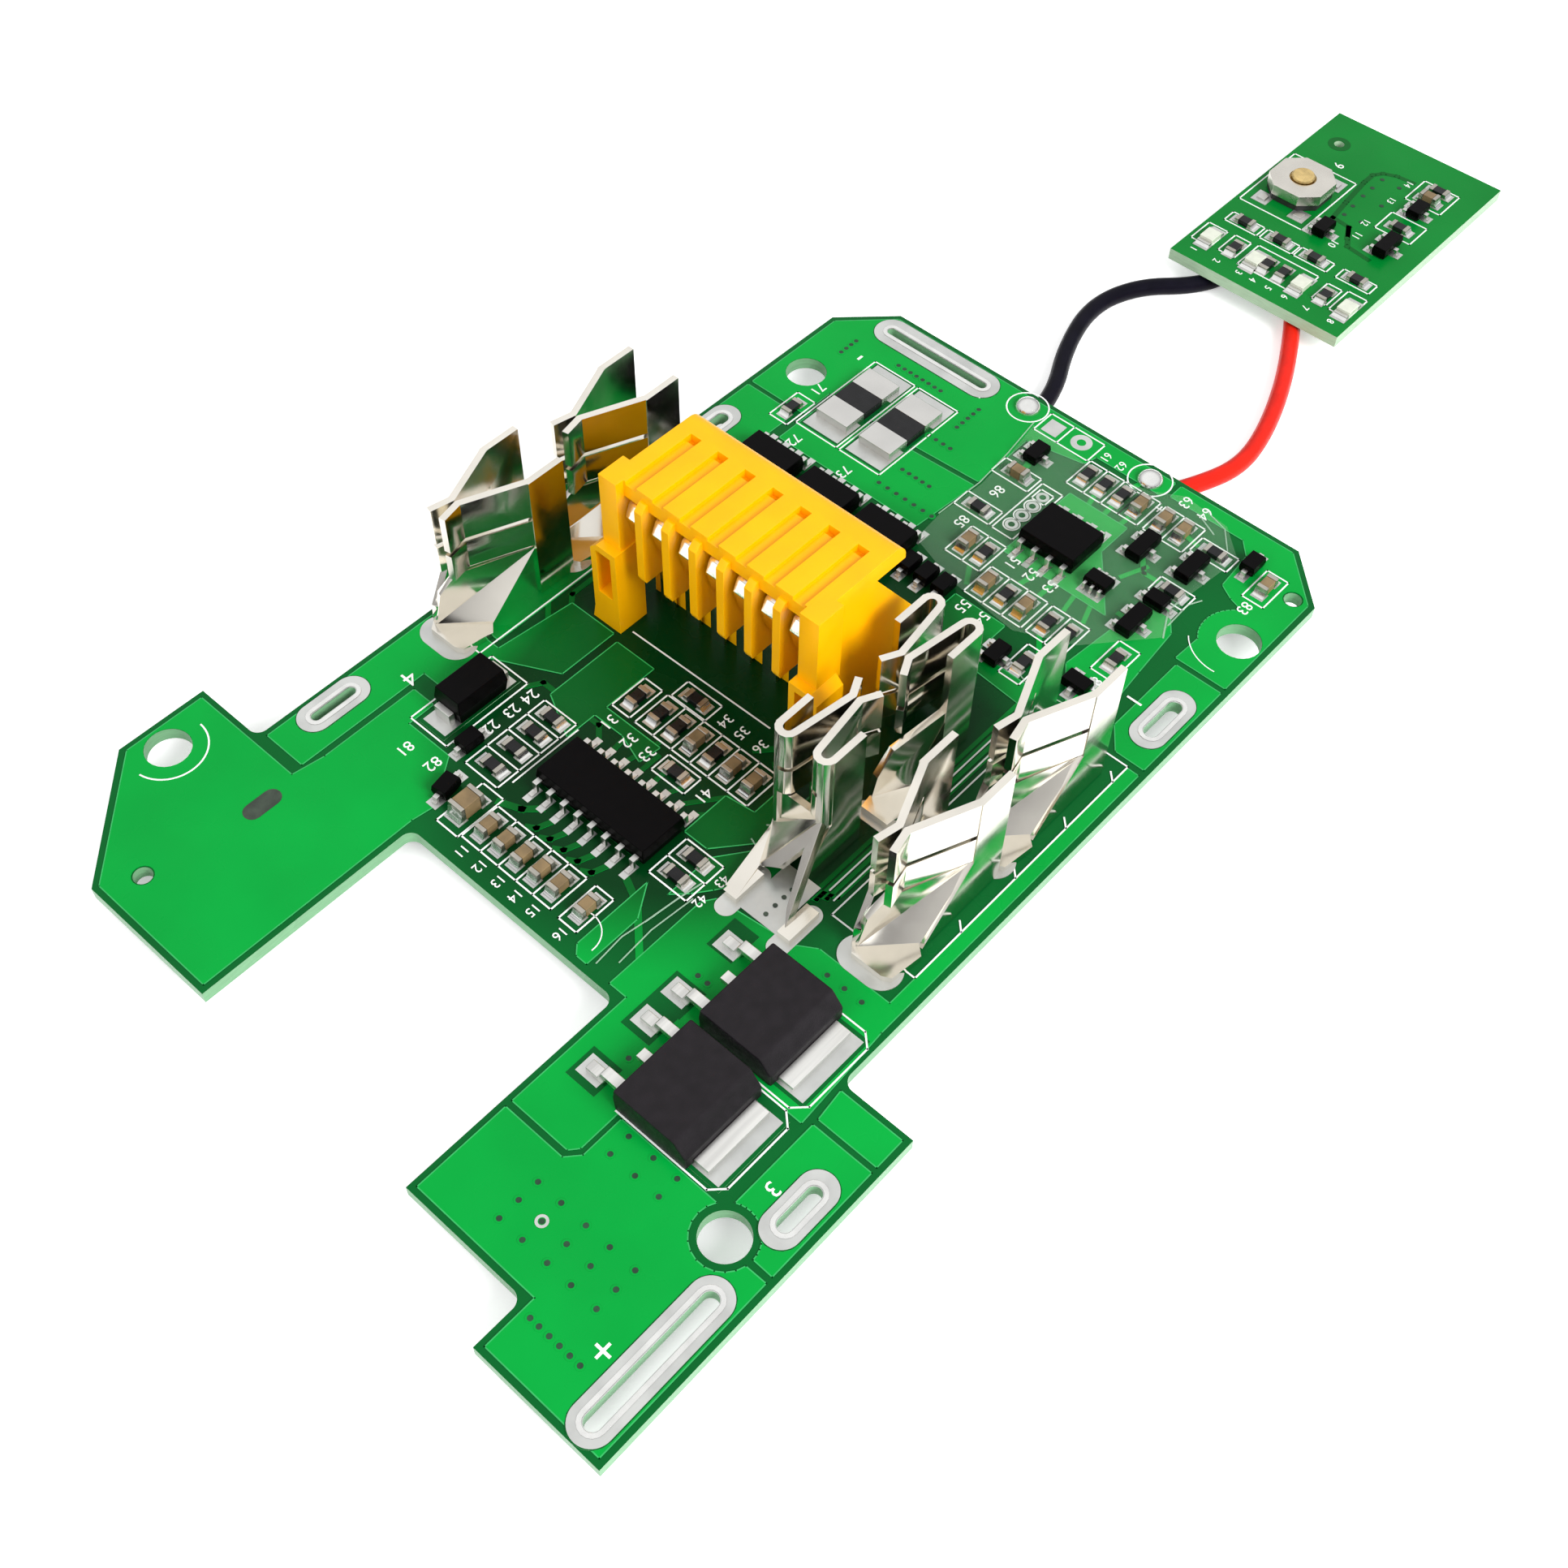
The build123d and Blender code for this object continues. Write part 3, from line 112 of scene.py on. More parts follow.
class MetalSettings(bpy.types.PropertyGroup):
    sheet_color: color_setting("Contact sheet", "Plated spring sheet", (0.86, 0.82, 0.74))
    solder_color: color_setting("Solder", "Solder and tinned pads", (0.82, 0.82, 0.80))
    sheet_round: length_setting("Sheet edges", "Rounding of the stamped edges", 0.07)


def spot(u, v, z=0.0):
    """A place on the main board in millimetres from its near right corner, z above its upper face."""
    return Vector((BOARD_LOW.x + u * MM, BOARD_LOW.y + v * MM, TOP + z * MM))


def lamp_spot(u, v, z=0.0):
    """A place on the indicator board in millimetres from its near right corner."""
    return Vector((LAMP_BOARD_LOW.x + u * MM, LAMP_BOARD_LOW.y + v * MM, LAMP_BOARD_HIGH.z + z * MM))


def places(points, z=0.0, on=spot):
    """Places for a list of points, on the main board unless another board's function is given."""
    return [on(u, v, z) for u, v in points]


def settings():
    """The three groups of settings, in the panel's order."""
    scene = bpy.context.scene
    return scene.board_settings, scene.plastic_settings, scene.metal_settings


# Corners nearer than this in metres are one, and faces within this many degrees are one face
MERGE_DISTANCE = 1e-6
FLAT_ANGLE = 1.5
# Steps in a slot's round end
END_STEPS = 8
# The thickness of a printed number, and the font size that a number of height 1 needs
NUMBER_HEIGHT = 0.03 * MM
FONT_SIZE = 1.25
# Values of the noise between which a colour and a roughness change
COLOR_BAND = (0.35, 0.65)
ROUGHNESS_BAND = (0.3, 0.7)
# Painted shadow under the connector and between the contacts, which darkens the solder mask there: its middle
# and half sizes in millimetres, where the painted shade starts and is full as shares of those, and how much
# of the mask's colour is left in it
SHADOW_MIDDLE = (42.5, 30.0)
SHADOW_HALF_SIZES = (21.0, 17.5)
SHADOW_START, SHADOW_FULL = 1.12, 0.82
SHADOW_TINT = 0.3
# How dark and how light the fibres of a cut edge get, and how level a face is that carries mask
FIBRE_TINTS = (0.72, 1.15)
LEVEL_FACE = 0.5
MATERIALS = {}


class Tree:
    """The nodes of a finish or of the sky, and the one they end in."""

    def __init__(self, owner, end):
        owner.use_nodes = True
        self.nodes = owner.node_tree.nodes
        self.links = owner.node_tree.links
        self.end = self.nodes[end]

    def add(self, kind, inputs=(), **options):
        """A new node with its options and the values of some of its inputs."""
        node = self.nodes.new("ShaderNode" + kind)
        for option, value in options.items():
            setattr(node, option, value)
        for socket, value in dict(inputs).items():
            node.inputs[socket].default_value = value
        return node

    def join(self, source, output, target, socket):
        self.links.new(source.outputs[output], target.inputs[socket])


def finish(name, sockets):
    """Makes a material with values on its shader's own sockets, and gives its nodes."""
    material = bpy.data.materials.new(name)
    tree = Tree(material, "Principled BSDF")
    for socket, value in sockets.items():
        tree.end.inputs[socket.replace("_", " ")].default_value = value
    MATERIALS[name] = material
    return tree


def object_noise(tree, scale, detail=3.0, stretch=(1, 1, 1)):
    """Noise on the piece's own millimetres, finer with a larger scale."""
    coords = tree.add("TexCoord")
    mapping = tree.add("Mapping", {"Scale": [s / MM for s in stretch]})
    noise = tree.add("TexNoise", {"Scale": scale, "Detail": detail})
    tree.join(coords, "Object", mapping, "Vector")
    tree.join(mapping, "Vector", noise, "Vector")
    return noise


def tint(color, factor):
    """A colour made darker or lighter by a factor."""
    return (*[min(1.0, c * factor) for c in color[:3]], 1.0)


def add_ramp(tree, colors, positions=(0, 1)):
    """A ramp between two colours."""
    ramp = tree.add("ValToRGB")
    for stop, color, position in zip(ramp.color_ramp.elements, colors, positions):
        stop.color = color
        stop.position = position
    return ramp


def vary_color(tree, color, spread, scale, stretch=(1, 1, 1)):
    """Clouds the base colour by a share of itself."""
    noise = object_noise(tree, scale, stretch=stretch)
    ramp = add_ramp(tree, [tint(color, 1 - spread), tint(color, 1 + spread)], COLOR_BAND)
    tree.join(noise, "Fac", ramp, "Fac")
    tree.join(ramp, "Color", tree.end, "Base Color")
    return ramp


def vary_roughness(tree, low, high, scale, stretch=(1, 1, 1)):
    """Clouds the roughness between two values."""
    noise = object_noise(tree, scale, stretch=stretch)
    start, stop = ROUGHNESS_BAND
    span = tree.add("MapRange", {"From Min": start, "From Max": stop, "To Min": low, "To Max": high})
    tree.join(noise, "Fac", span, "Value")
    tree.join(span, "Result", tree.end, "Roughness")


def add_bump(tree, scale, depth, strength=1.0, stretch=(1, 1, 1)):
    """Bump of a stated depth in millimetres."""
    noise = object_noise(tree, scale, stretch=stretch)
    bump = tree.add("Bump", {"Strength": strength, "Distance": depth * MM})
    tree.join(noise, "Fac", bump, "Height")
    tree.join(bump, "Normal", tree.end, "Normal")


def painted_shadow_zone(tree):
    """A share that is 1 where the painted shadow is full and falls to 0 round it."""
    half_x, half_y = (half * MM for half in SHADOW_HALF_SIZES)
    middle = spot(*SHADOW_MIDDLE)
    coords = tree.add("TexCoord")
    shift = tree.add("Mapping", {
        "Scale": (1 / half_x, 1 / half_y, 0), "Location": (-middle.x / half_x, -middle.y / half_y, 0),
    })
    reach = tree.add("VectorMath", operation="LENGTH")
    share = tree.add("MapRange", {"From Min": SHADOW_START, "From Max": SHADOW_FULL})
    tree.join(coords, "Object", shift, "Vector")
    tree.join(shift, "Vector", reach, 0)
    tree.join(reach, "Value", share, "Value")
    return share


def mask_finish(name, color, laminate):
    """Glossy solder mask on level faces and pale glass-fibre laminate on cut edges."""
    tree = finish(name, {"Roughness": 0.3, "IOR": 1.5, "Specular IOR Level": 0.11})
    ramp = vary_color(tree, color, spread=0.07, scale=0.10)
    # Painted shadow: the mask's colour is multiplied darker under the connector and between the contacts
    deep = tree.add("Mix", {"B": tint(WHITE, SHADOW_TINT)}, data_type="RGBA", blend_type="MULTIPLY")
    facing = tree.add("NewGeometry")
    split = tree.add("SeparateXYZ")
    upright = tree.add("Math", operation="ABSOLUTE")
    level = tree.add("Math", {1: LEVEL_FACE}, operation="GREATER_THAN")
    fibre = object_noise(tree, 1.6, detail=5, stretch=(0.6, 0.6, 6))
    edge = add_ramp(tree, [tint(laminate, factor) for factor in FIBRE_TINTS])
    mix = tree.add("Mix", data_type="RGBA")
    tree.join(painted_shadow_zone(tree), "Result", deep, "Factor")
    tree.join(ramp, "Color", deep, "A")
    tree.join(fibre, "Fac", edge, "Fac")
    tree.join(facing, "True Normal", split, "Vector")
    tree.join(split, "Z", upright, 0)
    tree.join(upright, "Value", level, 0)
    tree.join(level, "Value", mix, "Factor")
    tree.join(edge, "Color", mix, "A")
    tree.join(deep, "Result", mix, "B")
    tree.join(mix, "Result", tree.end, "Base Color")
    vary_roughness(tree, low=0.2, high=0.38, scale=0.25)
    add_bump(tree, scale=1.2, depth=0.012, strength=0.5)


def plain_finish(name, color, roughness, spread, scale, bump, specular=0.5, stretch=(1, 1, 1), **sockets):
    """A clouded colour with a fine surface grain, which a stretch draws out into streaks."""
    tree = finish(name, {"Specular IOR Level": specular, **sockets})
    vary_color(tree, color, spread, scale, stretch)
    vary_roughness(tree, *roughness, scale * 2, stretch)
    if bump:
        add_bump(tree, *bump, stretch=stretch)


def make_finishes():
    """Makes every finish but the floor's."""
    board, plastic, metal = settings()
    gap_color = tint(board.mask_color, 0.32)
    mask_finish("mask_on_laminate", board.bare_mask_color, board.laminate_color)
    mask_finish("mask_on_copper", board.mask_color, board.mask_color)
    mask_finish("indicator_mask", tint(board.mask_color, 0.6), board.indicator_edge_color)
    mask_finish("indicator_gap", gap_color, gap_color)
    # Name, colour, lowest and highest roughness, spread and scale of the clouds, scale and depth of the grain
    # Raised varnish ridges, partly see-through, whose pale colour also paints the highlight along them
    plain_finish(
        "varnish_and_highlight", (0.55, 0.8, 0.6), (0.05, 0.15), 0.05, 0.5, (0.7, 0.01), Alpha=0.32, Coat_Weight=1,
    )
    plain_finish(
        "varnish_film", (0.45, 0.75, 0.5), (0.08, 0.2), 0.05, 0.3, (0.5, 0.03), Alpha=0.06, Coat_Weight=0.5,
    )
    # Painted highlight: a lighter green for the thin lines on the copper outlines, where the raised copper
    # edges catch the light
    plain_finish("copper_edge_highlight", (0.02, 0.38, 0.09), (0.25, 0.4), 0.1, 1, None)
    plain_finish(
        "tab_metal", (0.8, 0.795, 0.765), (0.26, 0.42), 0.2, 0.9, (1, 0.01), stretch=(0.06, 1.6, 1.6),
        Metallic=1,
    )
    plain_finish("white_print", board.print_color, (0.45, 0.6), 0.05, 1.5, (9, 0.003))
    plain_finish("tinned_pad", (0.66, 0.67, 0.65), (0.34, 0.46), 0.1, 0.5, (0.9, 0.006), Metallic=0.9)
    plain_finish("solder", metal.solder_color, (0.12, 0.24), 0.06, 1, (1.2, 0.025), Metallic=0.95)
    plain_finish("sheet_metal", metal.sheet_color, (0.1, 0.18), 0.06, 0.25, (0.22, 0.014), Metallic=1)
    plain_finish("leaf_metal", metal.sheet_color, (0.12, 0.2), 0.08, 0.8, (1.2, 0.02), Metallic=1)
    plain_finish("tinned_lead", (0.7, 0.69, 0.665), (0.3, 0.38), 0.04, 0.5, (0.6, 0.003), Metallic=1)
    plain_finish(
        "yellow_plastic", plastic.housing_color, (0.3, 0.42), 0.04, 0.35, (5, 0.004), 0.3,
        Subsurface_Weight=0.1, Subsurface_Radius=(0.0012, 0.0007, 0.0002), Subsurface_Scale=1,
    )
    plain_finish("black_epoxy", plastic.epoxy_color, (0.3, 0.42), 0.25, 1.2, (14, 0.004), 0.07)
    plain_finish("grey_epoxy", (0.0105, 0.0085, 0.0105), (0.42, 0.55), 0.2, 1.2, (12, 0.012), 0.22)
    plain_finish("resistor_top", (0.006, 0.006, 0.007), (0.25, 0.4), 0.3, 1.6, (6, 0.006), 0.3)
    plain_finish("brown_ceramic", (0.21, 0.145, 0.07), (0.3, 0.45), 0.18, 0.8, (6, 0.006), 0.4)
    plain_finish("lamp_body", (0.66, 0.69, 0.58), (0.12, 0.25), 0.06, 1.6, (4, 0.004), Coat_Weight=0.6)
    plain_finish("chip_end", (0.5, 0.475, 0.42), (0.28, 0.4), 0.1, 1.2, (1.2, 0.006), Metallic=1)
    plain_finish("switch_plastic", (0.02, 0.02, 0.02), (0.4, 0.5), 0.2, 1.2, (8, 0.006))
    plain_finish("switch_steel", (0.74, 0.71, 0.65), (0.24, 0.32), 0.05, 0.6, (0.8, 0.004), Metallic=1)
    plain_finish("brass", (0.76, 0.56, 0.24), (0.22, 0.4), 0.18, 1.6, (4, 0.012), Metallic=1)
    plain_finish("black_sleeve", plastic.black_wire_color, (0.3, 0.42), 0.2, 0.6, (1.5, 0.006), 0.08)
    plain_finish("red_sleeve", plastic.red_wire_color, (0.28, 0.4), 0.08, 0.6, (1.5, 0.006), 0.18)
    # Painted shade: dark green discs stand for the inside of the small holes
    plain_finish("via_hole_shade", (0.012, 0.05, 0.022), (0.5, 0.7), 0.3, 2, None)
    # Ink of the oval mark, also used as painted shade in the holes of a foot pad
    plain_finish("ink_and_hole_shade", (0.03, 0.045, 0.03), (0.3, 0.5), 0.35, 1.2, (5, 0.004))


def add_object(name, data):
    made = bpy.data.objects.new(name, data)
    bpy.context.scene.collection.objects.link(made)
    return made


def keep(bm, name, material, body="boards", smooth_angle=None):
    """Makes a bmesh a piece that moves with a body."""
    mesh = bpy.data.meshes.new(name)
    bm.to_mesh(mesh)
    bm.free()
    if smooth_angle is not None:
        mesh.shade_smooth()
        mesh.set_sharp_from_angle(angle=math.radians(smooth_angle))
    piece = add_object(name, mesh)
    mesh.materials.append(MATERIALS[material])
    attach(piece, body)
    return piece


def keep_outward(bm, name, material, smooth_angle=None):
    """Turns the faces of a bmesh outward and makes it a piece of the boards."""
    bmesh.ops.recalc_face_normals(bm, faces=bm.faces)
    return keep(bm, name, material, smooth_angle=smooth_angle)


def round_edges(piece, width, segments):
    """Rounds a piece's sharp edges."""
    bevel = piece.modifiers.new("rounded edges", "BEVEL")
    bevel.width = width
    bevel.segments = segments
    bevel.limit_method = "ANGLE"
    return bevel


def verts_of(geometry):
    return [g for g in geometry if isinstance(g, bmesh.types.BMVert)]


def add_box(bm, low, high):
    """A box between two corners."""
    made = bmesh.ops.create_cube(bm, size=1)["verts"]
    bmesh.ops.scale(bm, vec=high - low, verts=made)
    bmesh.ops.translate(bm, vec=(low + high) / 2, verts=made)


def add_bar(bm, start, end, width, height):
    """A flat bar that stands on the line between two places of one height."""
    along = end - start
    made = bmesh.ops.create_cube(bm, size=1)["verts"]
    bmesh.ops.scale(bm, vec=(along.length + width, width, height), verts=made)
    turn = Matrix.Rotation(math.atan2(along.y, along.x), 3, "Z")
    bmesh.ops.rotate(bm, cent=(0, 0, 0), matrix=turn, verts=made)
    bmesh.ops.translate(bm, vec=(start + end) / 2 + Vector((0, 0, height / 2)), verts=made)


def add_path(bm, bends, width, height, closed=False):
    """Flat bars from bend to bend."""
    for start, end in zip(bends, bends[1:] + (bends[:1] if closed else [])):
        add_bar(bm, start, end, width, height)


def add_disc(bm, centre, radius, height, segments):
    made = bmesh.ops.create_cone(
        bm, cap_ends=True, segments=segments, radius1=radius, radius2=radius, depth=height,
    )["verts"]
    bmesh.ops.translate(bm, vec=centre + Vector((0, 0, height / 2)), verts=made)


def keep_discs(name, material, centres, radius, height, segments):
    """Makes a piece of like discs, their radius and height in millimetres."""
    bm = bmesh.new()
    for centre in centres:
        add_disc(bm, centre, radius * MM, height * MM, segments)
    keep(bm, name, material)


def add_ring(bm, centre, inner, outer, height, segments, start=0.0, turn=360.0):
    """A flat ring, or an arc of one, spun from its section."""
    first = Matrix.Rotation(math.radians(start), 3, "Z")
    corners = [(inner, 0), (outer, 0), (outer, height), (inner, height)]
    verts = [bm.verts.new(centre + first @ Vector((r, 0, z))) for r, z in corners]
    edges = [bm.edges.new((verts[i], verts[(i + 1) % 4])) for i in range(4)]
    bmesh.ops.spin(
        bm, geom=verts + edges, cent=centre, axis=(0, 0, 1), angle=math.radians(turn), steps=segments,
        use_merge=turn >= 360, use_duplicate=False,
    )


def fill_outline(bm, outer, holes, base, height):
    """A flat plate with holes, its outlines given as places."""
    edges = []
    for loop in [outer, *holes]:
        verts = [bm.verts.new((p.x, p.y, base)) for p in loop]
        edges += [bm.edges.new((verts[i - 1], verts[i])) for i in range(len(verts))]
    filled = bmesh.ops.triangle_fill(bm, use_beauty=True, edges=edges)["geom"]
    faces = [g for g in filled if isinstance(g, bmesh.types.BMFace)]
    raised = bmesh.ops.extrude_face_region(bm, geom=faces)["geom"]
    bmesh.ops.translate(bm, vec=(0, 0, height), verts=verts_of(raised))


def inside(outline, u, v, margin):
    """Whether a disc of the margin's radius round a place lies inside an outline."""
    for k in range(8):
        x, y = u + margin * math.cos(k * math.pi / 4), v + margin * math.sin(k * math.pi / 4)
        crossings = 0
        for (u0, v0), (u1, v1) in zip(outline, outline[1:] + outline[:1]):
            if (v0 > y) != (v1 > y) and x < u0 + (y - v0) * (u1 - u0) / (v1 - v0):
                crossings += 1
        if crossings % 2 == 0:
            return False
    return True


def round_loop(centre, radius, count):
    turns = [2 * math.pi * i / count for i in range(count)]
    return [centre + Vector((radius * math.cos(turn), radius * math.sin(turn), 0)) for turn in turns]


def slot_loop(u, v, size, grow=0.0, along_v=False):
    """The outline of a bar with round ends on the main board, from its length and width in millimetres."""
    centre = spot(u, v)
    length, width = ((side + grow) * MM for side in size)
    radius, reach = width / 2, (length - width) / 2
    loop = []
    for end in (1, -1):
        for i in range(END_STEPS + 1):
            angle = math.pi * (i / END_STEPS - 0.5) + (0 if end > 0 else math.pi)
            x, y = end * reach + radius * math.cos(angle), radius * math.sin(angle)
            loop.append(centre + (Vector((-y, x, 0)) if along_v else Vector((x, y, 0))))
    return loop


def merged_copy(node):
    """A CAD node's mesh with its corners joined, as a bmesh."""
    bm = bmesh.new()
    bm.from_mesh(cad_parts[node].data)
    bmesh.ops.remove_doubles(bm, verts=bm.verts, dist=MERGE_DISTANCE)
    return bm


def islands(node):
    """The boxes of a CAD node's separate solids."""
    bm = merged_copy(node)
    left, boxes = set(bm.verts), []
    while left:
        front = [left.pop()]
        low, high = front[0].co.copy(), front[0].co.copy()
        while front:
            vert = front.pop()
            low = Vector(map(min, low, vert.co))
            high = Vector(map(max, high, vert.co))
            for edge in vert.link_edges:
                other = edge.other_vert(vert)
                if other in left:
                    left.remove(other)
                    front.append(other)
        boxes.append((low, high))
    bm.free()
    return sorted(boxes, key=lambda b: tuple(round(x, 6) for x in b[0]))


def rounded_copy(node, name, material, width, body="boards", segments=2, angle=28):
    """A copy of a CAD node with its edges rounded, which stands for the node."""
    bm = merged_copy(node)
    bmesh.ops.dissolve_limit(bm, angle_limit=math.radians(FLAT_ANGLE), verts=bm.verts, edges=bm.edges)
    piece = keep(bm, name, material, body, smooth_angle=angle)
    if width:
        bevel = round_edges(piece, width, segments)
        bevel.angle_limit = math.radians(angle)
        bevel.harden_normals = True
    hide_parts(node)


def paint(node, material):
    """Gives a CAD node that stays its finish."""
    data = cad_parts[node].data
    data.materials.clear()
    data.materials.append(MATERIALS[material])


def add_number(bm, text, place, height):
    """A printed number, as a thin raised mesh that reads from the far side."""
    curve = bpy.data.curves.new("number", "FONT")
    curve.body = text
    curve.size = height * FONT_SIZE
    curve.extrude = NUMBER_HEIGHT / 2
    curve.resolution_u = 2
    curve.align_x, curve.align_y = "CENTER", "CENTER"
    holder = add_object("number", curve)
    mesh = bpy.data.meshes.new_from_object(holder)
    lift = Matrix.Translation(place + Vector((0, 0, NUMBER_HEIGHT / 2)))
    mesh.transform(lift @ Matrix.Rotation(math.pi, 4, "Z"))
    bm.from_mesh(mesh)
    bpy.data.objects.remove(holder)
    bpy.data.curves.remove(curve)
    bpy.data.meshes.remove(mesh)


def arc(u, v, radius, start, end, steps=12):
    """Places along an arc, its angles in degrees from the u direction."""
    turns = [math.radians(start + (end - start) * i / steps) for i in range(steps + 1)]
    return [(u + radius * math.cos(t), v + radius * math.sin(t)) for t in turns]


# Copper areas under the mask, as outlines in millimetres on the main board, with the dark gaps between them
COPPER_AREAS = [
    [(0.45, 0.45), (0.45, 9.25), (4.15, 9.25), (4.15, 18.95), (11, 18.95), (11, 14.2), (11.9, 13.4),
     (15, 13.4), *arc(13.8, 4, 2.1, 56, 257), (13.35, 0.45)],
    [(11.5, 18.95), (11.5, 14.3), (12.1, 13.8), (21.9, 13.8), (21.9, 5.5), (29.6, 5.95), (55.9, 5.95),
     (55.9, 6.9), (31.5, 6.9), (31.5, 12.6), (30.6, 14), (29.9, 19.8), (29, 20.4), (20.95, 20.4),
     (20.95, 18.95)],
    [(56.5, 5.95), (65.5, 5.95), (65.5, 9.7), (58.3, 9.7), (56.5, 8.3)],
    [(13.85, 0.45), (22.3, 0.45), (22.3, 4.95), *arc(13.8, 4, 2.1, 27, -88)],
    [(22.75, 0.45), (25.05, 0.45), (25.05, 5.2), (22.75, 4.95)],
    [(4.15, 38.45), (4.15, 49), (11.8, 56.55), (17.95, 56.55), (17.95, 47), (20.4, 46.6), (28.2, 46.6),
     (28.2, 44.6), (26, 44.6), (26, 40.6), (22.6, 38.2), (20.85, 38.45)],
    [(18.9, 47.15), (29.6, 47.15), (29.6, 45), (33.5, 45), (36, 40.2), (41, 40.2), (41, 44.4),
     (34.6, 45.1), (34.6, 50.75), (18.9, 50.75)],
    [(35.1, 45.6), (55.6, 45.6), (55.6, 50.75), (35.1, 50.75)],
    [(56.1, 45.9), (65.1, 45.9), (66.15, 46.9), (66.15, 50.75), (56.1, 50.75)],
    [(63.4, 31.4), (69.55, 30.9), (69.2, 37), (69.2, 45), (63.4, 45)],
    [(70.05, 30.9), (76, 31), (77, 26.3), (78.2, 26), (78.2, 20), (80.05, 20), (80.05, 47.1),
     (76.35, 50.75), (66.6, 50.75), (66.6, 45.4), (69.7, 45.4), (69.7, 37)],
    [(66, 5.95), (76.4, 5.95), (80.05, 9.6), (80.05, 19.5), (78.6, 19.5), (78.6, 13), (77.4, 11.9),
     (73.9, 11.6), (73.2, 10.4), *arc(70.3, 7.7, 2.9, 30, 128), (66, 10.1)],
    [(57.2, 10.6), (63.2, 11.2), (67.6, 11.6), (68.9, 12.6), (68.9, 14.6), (60.4, 15.4), (57.2, 13)],
    [(30.2, 20.4), (34.4, 17.6), (34.4, 20.4), (31.8, 22.3), (28, 22.3), (29, 21.3)],
    [(20.95, 22.4), (25.4, 22.4), (27.8, 23.9), (21.6, 23.9), (20.95, 23.3)],
    [(32.2, 24.9), (36.1, 24.9), (36.4, 22.6), (44, 22.6), (44, 20.4), (35.2, 20.4), (32.2, 22.9)],
    [(32.4, 36), (35, 36), (35, 33.4), (34.2, 31), (36, 30.8), (36, 35.9), (40.6, 35.9),
     (40.6, 39.5), (34.2, 39.5)],
    [(28.6, 25.2), (32.1, 25.2), (32.1, 34.2), (28.6, 34.2)],
    [(55.2, 14.6), (57, 14.6), (57, 20.6), (60.2, 20.6), (60.2, 25.1), (56, 25.1)],
    [(65.8, 16), (70.6, 19.9), (73.8, 19.9), (73.8, 25.2), (71, 25.2), (65.8, 25.2)],
]
# Copper tracks: width, then the bends
TRACKS = [
    *[(0.42, [(27, v), (25.9, v + 0.4), (25.6, v + 0.9)]) for v in (26.62, 27.89, 29.17, 30.43, 31.7)],
    (0.5, [(27.2, 32.98), (26.3, 33.9), (25.7, 35.4)]), (0.5, [(27.2, 25.35), (26.2, 23.2), (22.4, 19.2)]),
    (0.4, [(33.6, 34.2), (34.6, 35.2), (34.6, 40.6), (33.6, 41.2)]), (0.4, [(33.6, 32.98), (35.8, 33.2)]),
    (0.35, [(33.6, 31.7), (36.2, 31.2)]), (0.35, [(33.6, 30.43), (35.4, 30.43)]),
    (0.35, [(33.6, 29.17), (34.6, 29.17)]), (0.35, [(33.6, 27.89), (34.5, 27.5)]),
    (0.35, [(33.6, 26.62), (36.3, 24.6)]), (0.35, [(33.6, 25.35), (36, 22.9)]),
    *[
        (0.3, [(32.0 + 0.3 * i, 20.2), (33.6 + 0.5 * i, 15.6 - 0.45 * i), (57.4, 15.6 - 0.45 * i)])
        for i in range(4)
    ],
    (0.45, [(40.2, 26), (44, 22.6), (44.6, 21.2)]), (0.45, [(40.2, 24.2), (42.2, 22.2)]),
    (0.4, [(36.8, 40.6), (41.6, 45), (57.8, 45)]), (0.4, [(35.8, 41.4), (39.9, 45.7)]),
    (0.4, [(62.9, 26), (61.6, 25.2)]), (0.4, [(61.4, 18.5), (58.6, 16.4)]),
    (0.4, [(64.2, 20.6), (66, 20.6)]), (0.4, [(64.2, 22.3), (66.2, 21.9)]),
    (0.4, [(72.2, 21.9), (74.8, 22.1)]), (0.4, [(72.2, 20.6), (74.8, 20.5)]),
    (0.4, [(72.2, 23.1), (74.8, 23.7)]), (0.4, [(77.6, 22.1), (78.9, 21.7)]),
    (0.5, [(73, 29.2), (74.4, 29.4)]), (0.35, [(69.6, 17.4), (71.6, 16.6)]),
    (0.35, [(66, 17.4), (64.3, 16.8)]), (0.35, [(66, 18.8), (64.3, 18.5)]),
    (0.4, [(75.9, 15.2), (76.1, 16.2)]), (0.4, [(71, 15.3), (71, 16.4), (72.2, 17.4)]),
    (0.4, [(66.6, 15.4), (66.6, 13.2)]),
]
# Dark gaps in the mask round power pads: low u, low v, high u, high v
PAD_CLEARANCES = [
    (27, 15.9, 29.6, 18), (22, 15.5, 24.4, 18), (19.5, 15.6, 22, 18), (14.9, 15.6, 17.3, 18),
    (15.45, 6.05, 21.5, 8.65), (22.65, 6.05, 28.7, 8.65), (65.7, 36.95, 74.9, 40.65),
    (65.7, 41.2, 74.9, 44.95), (26.6, 41.8, 33.6, 44.4),
]
